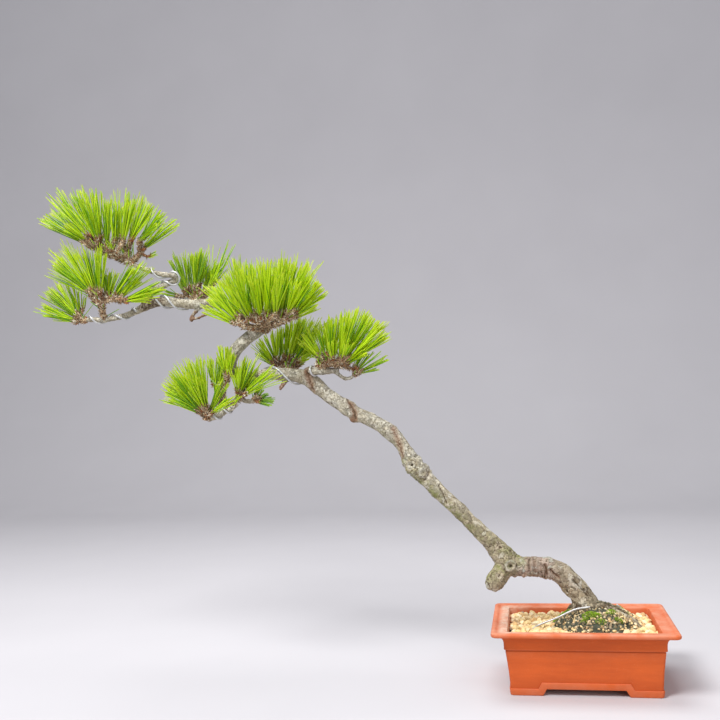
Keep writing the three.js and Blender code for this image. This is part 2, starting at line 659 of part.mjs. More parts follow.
// Each spray has a woody core of ribs, given as limb stations, and tufts given as the bud's place
// [x, y, z] and the reach [x, y, z] from there to the far end of its needles.
const sprays = {
  spray_apex: {
    ribs: [
      [[-531, -6, 511, 2.9], [-546, -7, 518, 2.9], [-562, -5, 525, 2.7], [-580, -3, 533, 2.2]],
      [[-544, -7, 518, 2.4], [-547, -18, 521, 2.3], [-556, -27, 527, 1.9]],
      [[-546, -6, 519, 2.4], [-546, 8, 527, 2.3], [-558, 24, 537, 1.9]],
      [[-538, -6, 514, 2.4], [-527, -8, 519, 2.2], [-521, -9, 524, 1.9]],
      [[-562, -5, 525, 2.4], [-576, 9, 534, 2.2], [-588, 19, 543, 1.8]],
    ],
    tufts: [
      [-596, -2, 550, -59, -8, 32], [-582, -22, 543, -43, -22, 53], [-596, 22, 551, -61, 16, 61],
      [-581, 0, 542, -31, -4, 70], [-563, -26, 539, -6, -18, 63], [-583, 30, 553, -25, 26, 64],
      [-557, -8, 542, -8, -6, 56], [-541, -34, 534, 13, -26, 48], [-557, 14, 548, -2, 16, 60],
      [-535, -16, 543, 7, -10, 59], [-553, 32, 551, 3, 22, 56], [-533, 2, 543, 14, 2, 56],
      [-516, -26, 535, 28, -20, 40], [-529, 12, 540, 29, 12, 44], [-518, -8, 529, 50, -8, 28],
      [-567, -13, 521, -16, -8, -20], [-552, -19, 514, 4, -9, -22], [-528, -15, 516, 24, -8, -4],
    ],
  },
  spray_left_middle: {
    ribs: [
      [[-574, -3, 443, 2.6], [-575, -7, 452, 2.6], [-573, -12, 461, 2.9], [-570, -14, 468, 2.6]],
      [[-573, -12, 461, 2.6], [-582, -15, 468, 2.2]],
      [[-572, -13, 464, 2.6], [-557, -16, 467, 2.2], [-545, -18, 465, 1.9]],
    ],
    tufts: [
      [-585, -16, 474, -50, -6, 39], [-590, -4, 477, -48, 2, 64], [-581, -28, 475, -43, -18, 54],
      [-578, -20, 478, -10, -12, 51], [-576, -6, 481, 1, 4, 58], [-558, -28, 471, 9, -14, 31],
      [-556, -18, 473, 27, -6, 35], [-556, -7, 472, 41, 6, 38], [-539, -18, 465, 57, -6, 14],
    ],
  },
  spray_far_left: {
    ribs: [[[-597, -5, 444, 2.6], [-604, -5, 444, 2.4], [-608, -5, 445, 2]]],
    tufts: [[-609, -5, 444, -53, -8, 19], [-608, -8, 446, -33, -14, 41], [-608, -2, 448, -20, 8, 48]],
  },
  spray_back_middle: {
    ribs: [
      [[-459, 10, 459, 2.8], [-460, 18, 464, 2.6], [-464, 27, 469, 2.6]],
      [[-463, 26, 468, 2.3], [-473, 31, 471, 2]],
      [[-463, 26, 468, 2.3], [-453, 30, 472, 2]],
    ],
    tufts: [
      [-479, 28, 474, -15, 4, 53], [-475, 40, 476, -15, 14, 57], [-464, 28, 477, 6, 6, 54],
      [-455, 36, 479, 22, 10, 40], [-447, 27, 473, 24, 2, 26], [-481, 24, 471, -30, 4, 9],
    ],
  },
  spray_centre: {
    ribs: [
      [[-369, 9, 429, 3.6], [-364, -4, 422, 3.8], [-359, -15, 420, 3.6], [-352, -26, 424, 3]],
      [[-362, -8, 420, 3], [-373, -19, 422, 2.8], [-384, -24, 424, 2.3]],
      [[-358, -16, 421, 3], [-342, -23, 426, 2.8], [-328, -26, 430, 2.3]],
      [[-356, -20, 422, 2.6], [-356, -34, 425, 2.4], [-348, -43, 428, 2]],
      [[-362, -7, 421, 2.6], [-350, -2, 432, 2.4], [-342, 4, 437, 2]],
      [[-364, -5, 422, 2.6], [-373, -5, 434, 2.4], [-378, 2, 439, 2]],
    ],
    tufts: [
      [-389, -24, 427, -45, -6, 26], [-377, -36, 433, -42, -20, 36], [-386, -6, 438, -45, 4, 48],
      [-376, -24, 438, -27, -12, 56], [-380, 6, 444, -26, 14, 66], [-362, -46, 433, 0, -26, 58],
      [-364, -20, 441, -1, -8, 62], [-350, -42, 437, 8, -24, 58], [-361, 3, 445, 3, 14, 67],
      [-346, -26, 438, 14, -10, 64], [-335, -46, 433, 27, -26, 53], [-344, -6, 441, 26, 4, 64],
      [-332, -28, 435, 36, -16, 55], [-340, 10, 442, 30, 18, 48], [-330, -14, 436, 42, -4, 35],
      [-321, -32, 431, 42, -16, 21], [-325, -10, 435, 34, 2, 13],
    ],
  },
  spray_behind_trunk: {
    ribs: [
      [[-341, 9, 366, 3], [-342, 20, 369, 3], [-345, 31, 373, 2.7]],
      [[-344, 28, 372, 2.4], [-357, 36, 377, 2]],
      [[-344, 28, 372, 2.4], [-334, 33, 374, 2]],
    ],
    tufts: [
      [-362, 30, 381, -24, 4, 28], [-360, 43, 384, -12, 14, 41], [-350, 29, 386, 8, 6, 48],
      [-344, 42, 383, 15, 12, 58], [-336, 27, 380, 30, 0, 54], [-330, 37, 378, 24, 12, 31],
    ],
  },
  spray_right_pad: {
    ribs: [
      [[-293, -7, 367, 2.6], [-292, -9, 372, 2.6], [-286, -10, 375, 2.4]],
      [[-292, -8, 371, 2.3], [-300, -4, 372, 2]],
      [[-290, -9, 373, 2.3], [-284, 0, 376, 2.1], [-277, 8, 376, 1.9]],
      [[-290, -9, 372, 2.3], [-284, -20, 374, 2.1], [-274, -31, 376, 1.9]],
      [[-288, -10, 374, 2.3], [-274, -14, 373, 2.1], [-265, -16, 372, 1.9]],
    ],
    tufts: [
      [-302, -3, 377, -10, 4, 40], [-291, -24, 379, 3, -16, 50], [-293, 8, 383, 3, 16, 55],
      [-282, -17, 383, 14, -10, 52], [-273, -36, 381, 18, -22, 43], [-281, 2, 384, 22, 6, 58],
      [-268, -23, 379, 37, -14, 57], [-273, 14, 380, 33, 22, 53], [-266, -8, 377, 54, -6, 46],
      [-259, -27, 373, 52, -12, 37],
    ],
  },
  spray_right_tuft: {
    ribs: [[[-253, -13, 359, 1.8], [-250, -14, 362, 1.8]]],
    tufts: [[-249, -14, 363, 38, -12, 18], [-252, -11, 365, 8, 4, 27]],
  },
  spray_low_left: {
    ribs: [
      [[-429, -23, 313, 3], [-435, -24, 316, 2.8], [-438, -24, 319, 2.4]],
      [[-434, -24, 315, 2.2], [-430, -34, 317, 2]],
      [[-435, -24, 316, 2.2], [-438, -14, 318, 2]],
    ],
    tufts: [
      [-445, -24, 321, -38, -10, 29], [-436, -36, 321, -33, -20, 48], [-443, -12, 322, -29, 2, 60],
      [-435, -26, 325, -11, -14, 62], [-426, -39, 322, 12, -22, 58], [-433, -13, 322, 8, 6, 49],
      [-420, -38, 318, 34, -16, 20],
    ],
  },
  spray_low_upright: {
    ribs: [[[-408, -22, 323, 2], [-412, -26, 336, 1.9], [-411, -26, 349, 1.9], [-407, -25, 358, 1.9]]],
    tufts: [[-407, -25, 361, -5, -6, 40], [-404, -22, 359, 8, 8, 34]],
  },
  spray_low_middle: {
    ribs: [[[-394, -18, 338, 2.2], [-392, -25, 339, 2.2]]],
    tufts: [[-397, -29, 341, 7, -14, 38], [-391, -20, 345, 26, -2, 42], [-387, -26, 341, 44, -10, 26]],
  },
  spray_low_tuft: {
    ribs: [[[-379, -16, 333, 2], [-374, -15, 334, 1.9]]],
    tufts: [[-372, -17, 333, 21, -2, -3], [-373, -12, 335, 14, 8, 9]],
  },
};

// Segments that needles keep clear of. `node` is the piece, and `tuft` the shoot of it that a bud or
// the root end of a needle belongs to.
const obstacles = [];

function addLimbObstacles(limb, node, tuft = null) {
  const samples = limb.samples();
  samples.slice(1).forEach((sample, i) => {
    const before = samples[i];
    const radius = Math.max(sample.radius, before.radius) * (1 + limb.relief);
    obstacles.push({ a: before.point, b: sample.point, radius, node, tuft });
  });
}

// The shortest distance between segments a-b and c-d.
function segmentDistance(a, b, c, d) {
  const u = b.clone().sub(a);
  const v = d.clone().sub(c);
  const w = a.clone().sub(c);
  const uu = u.dot(u);
  const uv = u.dot(v);
  const vv = v.dot(v);
  const uw = u.dot(w);
  const vw = v.dot(w);
  const det = uu * vv - uv * uv;
  let s = det < 1e-9 ? 0 : THREE.MathUtils.clamp((uv * vw - vv * uw) / det, 0, 1);
  const t = THREE.MathUtils.clamp((uv * s + vw) / vv, 0, 1);
  s = THREE.MathUtils.clamp((uv * t - uw) / uu, 0, 1);
  return a.clone().addScaledVector(u, s).distanceTo(c.clone().addScaledVector(v, t));
}

function tuftFrame([x, y, z, reachX, reachY, reachZ]) {
  const reach = vec(reachX, reachY, reachZ);
  const length = reach.length();
  const axis = reach.normalize();
  const across = vec(0, 1, 0).cross(axis).normalize();
  const side = axis.clone().cross(across);
  const core = Math.min(length * shoot.core, shoot.coreLimit);
  return { bud: vec(x, y, z), axis, across, side, length, core };
}

// A shoot's stem and bud, from the rib's nearest point to the end of the bud.
function tuftCore(frame, ribPoints) {
  const { bud, axis, core } = frame;
  const foot = ribPoints.reduce((best, p) => (p.distanceTo(bud) < best.distanceTo(bud) ? p : best));
  const end = bud.clone().addScaledVector(axis, core);
  const middle = bud.clone().addScaledVector(axis, core * 0.4);
  return new Limb([
    [foot.x, foot.y, foot.z, shoot.foot],
    [middle.x, middle.y, middle.z, shoot.bud],
    [end.x, end.y, end.z, shoot.top],
  ], { sides: 4 });
}

// A needle with its root at a share of the bud's length: near the bud's foot it spreads, and near the
// tip it runs with the shoot.
function needleRay(frame, share, turn, aside, lengthShare) {
  const { bud, axis, across, side, length, core } = frame;
  const spread = THREE.MathUtils.degToRad(
    THREE.MathUtils.lerp(needle.angleAtFoot, needle.angleAtTop, share ** 0.8) + aside.spread,
  );
  const angle = turn + aside.turn;
  const direction = axis.clone().multiplyScalar(Math.cos(spread))
    .addScaledVector(across, Math.sin(spread) * Math.cos(angle))
    .addScaledVector(side, Math.sin(spread) * Math.sin(angle));
  const root = bud.clone().addScaledVector(axis, core * (0.3 + 0.55 * share));
  const reach = (length - core * 0.8) * lengthShare;
  return { root, direction, tip: root.clone().addScaledVector(direction, reach) };
}

function needleGeometry({ root, direction, tip }) {
  const reference = Math.abs(direction.z) > 0.9 ? vec(1, 0, 0) : vec(0, 0, 1);
  const across = reference.cross(direction).normalize();
  const side = direction.clone().cross(across);
  const corners = [0, 1, 2].map((k) => {
    const angle = (k / 3) * Math.PI * 2;
    return root.clone()
      .addScaledVector(across, needle.radius * Math.cos(angle))
      .addScaledVector(side, needle.radius * Math.sin(angle));
  });
  return indexedGeometry([...corners, tip], [[0, 2, 1], [0, 1, 3], [1, 2, 3], [2, 0, 3]]);
}

// Ways to turn a needle aside, from none to well clear.
const asides = [{ spread: 0, turn: 0 }];
for (let i = 1; i <= swing.tries; i += 1) {
  asides.push({
    spread: swing.spreadStep * i * Math.cos(i * 2.1),
    turn: swing.turnStep * i * Math.sin(i * 1.7),
  });
}

// Whether a needle would touch another piece, or come too near to another needle of its own spray
// beyond `clearStart`, where the two have parted from the bud.
function isBlocked({ root, tip }, clearStart, node, tuft) {
  return obstacles.some((other) => {
    const own = other.node === node;
    if (own && other.tuft === tuft) {
      return false;
    }
    const room = own ? 0.2 : GAP + 0.15;
    const near = other.radius + needle.radius + room;
    return segmentDistance(own ? clearStart : root, tip, other.a, other.b) < near;
  });
}

function placeNeedles(node, tuft, frame, random) {
  const count = Math.max(needle.fewest, Math.round(frame.length * needle.perReach));
  const placed = [];
  for (let i = 0; i < count; i += 1) {
    const share = (i + 0.5) / count;
    const turn = i * GOLDEN_ANGLE + tuft;
    const lengthShare = THREE.MathUtils.lerp(needle.shortest, 1, random());
    for (const aside of asides) {
      const ray = needleRay(frame, share, turn, aside, lengthShare);
      const clearStart = ray.root.clone().addScaledVector(ray.direction, 4);
      if (!isBlocked(ray, clearStart, node, tuft)) {
        placed.push(ray);
        obstacles.push({ a: ray.root, b: clearStart, radius: 0, node, tuft });
        obstacles.push({ a: clearStart, b: ray.tip, radius: needle.radius, node, tuft: null });
        break;
      }
    }
  }
  return placed;
}

// ---------------------------------------------------------------- the object

const finishes = {
  clay: { color: 0xd86c3c, roughness: 0.75 },
  screen: { color: 0x23262a, roughness: 0.6 },
  soil: { color: 0x4a4236, roughness: 1 },
  gravel: { color: 0xe3c893, roughness: 0.9 },
  bark: { color: 0xa69b82, roughness: 0.9 },
  needles: { color: 0x7fb51e, roughness: 0.5 },
  wire: { color: 0xc9ccd0, roughness: 0.35, metalness: 1 },
};

const tree = new THREE.Group();

function addPiece(name, geometry, finish) {
  const mesh = new THREE.Mesh(geometry, new THREE.MeshStandardMaterial(finishes[finish]));
  mesh.name = name;
  tree.add(mesh);
}

const woodKeepOut = wood(GAP);
const buriedKeepOut = woodKeepOut.add(tieWire.solid(GAP));

addPiece('pot', toGeometry(makePot()), 'clay');
addPiece('drain_screen_left', toGeometry(makeScreen(-drain.x)), 'screen');
addPiece('drain_screen_right', toGeometry(makeScreen(drain.x)), 'screen');
addPiece('soil', toGeometry(makeSoil(buriedKeepOut)), 'soil');
addPiece('gravel', toGeometry(makeGravel(buriedKeepOut)), 'gravel');
addPiece('trunk', toGeometry(wood(0).subtract(scarHollow.solid())), 'bark');
addPiece('tie_down_wire', tieWire.geometry(), 'wire');
for (const [name, path] of Object.entries(wirePaths)) {
  addPiece(name, wireGeometry(path), 'wire');
}

// Wood, wires and every spray's own stems are laid out first, so that the needles clear them all.
[trunkLimb, ...Object.values(limbs)].forEach((limb) => addLimbObstacles(limb, 'trunk'));
for (const [name, path] of Object.entries(wirePaths)) {
  path.slice(1).forEach((point, i) => {
    obstacles.push({ a: path[i], b: point, radius: wire.radius, node: name });
  });
}
const sprayPlans = Object.entries(sprays).map(([name, { ribs, tufts }]) => {
  const ribLimbs = ribs.map((stations) => new Limb(stations, { sides: 4 }));
  const ribPoints = ribLimbs.flatMap((limb) => limb.samples(12).slice(3).map(({ point }) => point));
  const frames = tufts.map(tuftFrame);
  const cores = frames.map((frame) => tuftCore(frame, ribPoints));
  ribLimbs.forEach((limb) => addLimbObstacles(limb, name));
  cores.forEach((limb, tuft) => addLimbObstacles(limb, name, tuft));
  return { name, frames, stems: [...ribLimbs, ...cores] };
});
const random = seededRandom(needle.seed);
for (const { name, frames, stems } of sprayPlans) {
  const needles = frames.flatMap((frame, tuft) => placeNeedles(name, tuft, frame, random));
  const solids = [
    ...stems.map((limb) => limb.solid()),
    ...needles.map((ray) => toSolid(needleGeometry(ray))),
  ];
  addPiece(name, toGeometry(mainBody(join(solids).subtract(woodKeepOut))), 'needles');
}

// The origin goes to the middle of the bounding box, on the surface under the feet.
tree.updateMatrixWorld(true);
const bounds = new THREE.Box3().setFromObject(tree);
tree.position.set(-(bounds.min.x + bounds.max.x) / 2, -(bounds.min.y + bounds.max.y) / 2, -bounds.min.z);

export default tree;
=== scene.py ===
"""The looks of a leaning pine bonsai in a rectangular clay pot, built over the packed CAD frame.

Sizes in the tables are millimetres in the pot's own frame: the middle of the pot in plan, feet at z = 0.
"""

import math

import bmesh
import bpy
import numpy as np
from mathutils import Matrix, Vector, noise
from mathutils.kdtree import KDTree


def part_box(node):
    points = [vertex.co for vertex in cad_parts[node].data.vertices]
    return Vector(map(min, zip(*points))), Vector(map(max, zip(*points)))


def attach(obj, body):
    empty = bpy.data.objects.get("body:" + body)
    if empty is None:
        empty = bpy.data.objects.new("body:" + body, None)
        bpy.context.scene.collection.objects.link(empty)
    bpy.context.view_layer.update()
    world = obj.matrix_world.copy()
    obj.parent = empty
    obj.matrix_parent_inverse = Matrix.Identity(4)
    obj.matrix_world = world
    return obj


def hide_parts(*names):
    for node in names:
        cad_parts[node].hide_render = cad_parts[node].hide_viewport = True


bl_info = {
    "name": "Leaning pine bonsai",
    "version": (1, 0, 0),
    "blender": (4, 5, 0),
    "location": "View3D > Sidebar > Bonsai",
    "description": "Builds a potted bonsai pine over its CAD frame",
    "category": "Add Mesh",
}

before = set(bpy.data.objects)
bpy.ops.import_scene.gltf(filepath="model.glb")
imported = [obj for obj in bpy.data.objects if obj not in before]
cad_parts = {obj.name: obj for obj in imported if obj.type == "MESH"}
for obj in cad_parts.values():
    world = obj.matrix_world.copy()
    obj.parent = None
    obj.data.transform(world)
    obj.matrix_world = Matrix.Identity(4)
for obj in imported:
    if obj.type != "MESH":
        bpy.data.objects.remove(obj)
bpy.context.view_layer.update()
POT_LOW, POT_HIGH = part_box("pot")
ORIGIN = np.array([(POT_LOW[0] + POT_HIGH[0]) / 2, (POT_LOW[1] + POT_HIGH[1]) / 2, 0.0])
MM = 0.001

# ---- the tables, as in the part's source

# Stations along the wood: x, y, z and radius.
TRUNK = [
    [12, 2, 34, 5], [11, 2, 46, 10], [10, 1, 60, 15], [8, 0, 74, 17.5], [5, 0, 86, 16], [1, 0, 97, 13.6],
    [-7, -1, 108, 13.2], [-15, -3, 118, 12.4], [-26, -4, 126, 12.2], [-38, -5, 130, 12.4],
    [-51, -6, 131, 12], [-64, -6, 131, 11.6], [-77, -6, 134, 13.4], [-86, -7, 145, 13],
    [-94, -7, 155, 11.6], [-103, -8, 165, 10.4], [-113, -8, 175, 9.2], [-123, -9, 186, 8.8],
    [-132, -9, 195, 9.3], [-142, -10, 205, 9], [-152, -10, 215, 8.8], [-162, -10, 225, 9.6],
    [-171, -9, 235, 9.2], [-179, -8, 245, 11], [-188, -7, 256, 9.6], [-195, -6, 268, 8.7],
    [-203, -4, 280, 8.6], [-213, -3, 290, 9.1], [-225, -1, 299, 8.6], [-237, 0, 306, 9.2],
    [-250, 1, 312, 8.4], [-263, 2, 319, 9.3], [-276, 3, 328, 8.7], [-288, 5, 336, 8.6],
    [-299, 6, 346, 9.3], [-310, 7, 355, 9.4], [-321, 8, 361, 9.2], [-334, 8, 364, 8.8],
    [-350, 7, 365, 8.2], [-366, 5, 365, 7.4], [-381, 2, 363, 7], [-394, -2, 364, 7], [-404, -6, 370, 7.2],
    [-407, -8, 382, 7.5], [-401, -8, 395, 7.9], [-391, -6, 406, 8.1], [-380, -1, 416, 8],
    [-371, 6, 424, 7.6], [-366, 16, 432, 7.2], [-372, 24, 442, 6.8], [-390, 26, 450, 6.4],
    [-411, 22, 455, 6.2], [-433, 15, 458, 6], [-460, 10, 458, 6], [-484, 8, 461, 6.3],
    [-502, 5, 463, 6.5], [-515, 3, 461, 7], [-524, 2, 457, 6.4],
]
LIMBS = {
    "cut_stub": [
        [-80, -6, 134, 11], [-87, -10, 126, 11.4], [-92, -12, 119, 11.6], [-95.5, -13, 113.5, 11.2],
        [-98, -14, 109, 9], [-99.5, -14.5, 105, 5.2],
    ],
    "low_left": [
        [-520, 3, 459, 5.5], [-529, 2, 454, 5], [-536, 1, 451, 4.2], [-545, 0, 448, 3.6],
        [-559, -2, 445, 3.5], [-574, -3, 443, 3.4], [-589, -4, 444, 3.2], [-598, -5, 444, 2.8],
    ],
    "upper": [
        [-515, 3, 461, 5.5], [-515, 1, 469, 4.6], [-511, 0, 476, 4.2], [-498, -2, 481, 4],
        [-485, -2, 486, 3.8], [-477, -4, 489, 3.6], [-478, -8, 493, 3.4], [-486, -9, 494, 3.2],
        [-502, -8, 498, 3], [-515, -7, 503, 3], [-524, -6, 507, 2.9], [-535, -6, 513, 2.8],
    ],
    "right": [
        [-314, 7, 359, 6], [-313, 2, 366, 5], [-304, -4, 367, 4.6], [-294, -7, 366, 4.4],
        [-282, -9, 366, 4], [-271, -10, 367, 3.4],
    ],
    "right_twig": [
        [-278, -10, 366, 2.6], [-270, -12, 360, 2.2], [-263, -13, 356, 2.2], [-256, -13, 357, 2],
        [-252, -13, 360, 1.9],
    ],
    "low_pad": [
        [-393, -2, 361, 4.8], [-393, -10, 349, 4.2], [-394, -17, 338, 4.1], [-401, -21, 328, 4],
        [-411, -22, 322, 4], [-422, -23, 316, 3.8], [-431, -23, 313, 3.2],
    ],
    "low_pad_right": [[-394, -17, 337, 3], [-385, -18, 333, 3], [-377, -16, 333, 2.6]],
    "dead_stub": [[-336, 8, 361, 4], [-343, 6, 355, 2.7], [-347, 5, 349, 2.5], [-349, 5, 346, 1.5]],
    "dead_twig": [[-451, 11, 455, 3], [-459, 9, 446, 2.4], [-463, 7, 438, 2.2], [-461, 7, 436, 1.6]],
    "dead_twig_fork": [[-463, 7, 439, 2], [-452, 6, 440, 1.9], [-442, 6, 444, 1.4]],
    "scar_boss": [[-77, -12, 134, 7.4], [-77.5, -18, 134.5, 6.6], [-78, -21.5, 135, 5]],
}
ROOTS = [
    [[10, -4, 82, 8], [26, -8, 84, 6], [42, -12, 79, 4.6], [57, -16, 71, 3.4], [66, -18, 63, 2.4]],
    [[12, 4, 80, 8], [26, 16, 81, 5], [40, 27, 73, 3.6], [48, 35, 63, 2.4]],
    [[2, 8, 80, 8], [-6, 20, 79, 5], [-12, 33, 71, 3.4], [-16, 41, 62, 2.2]],
]
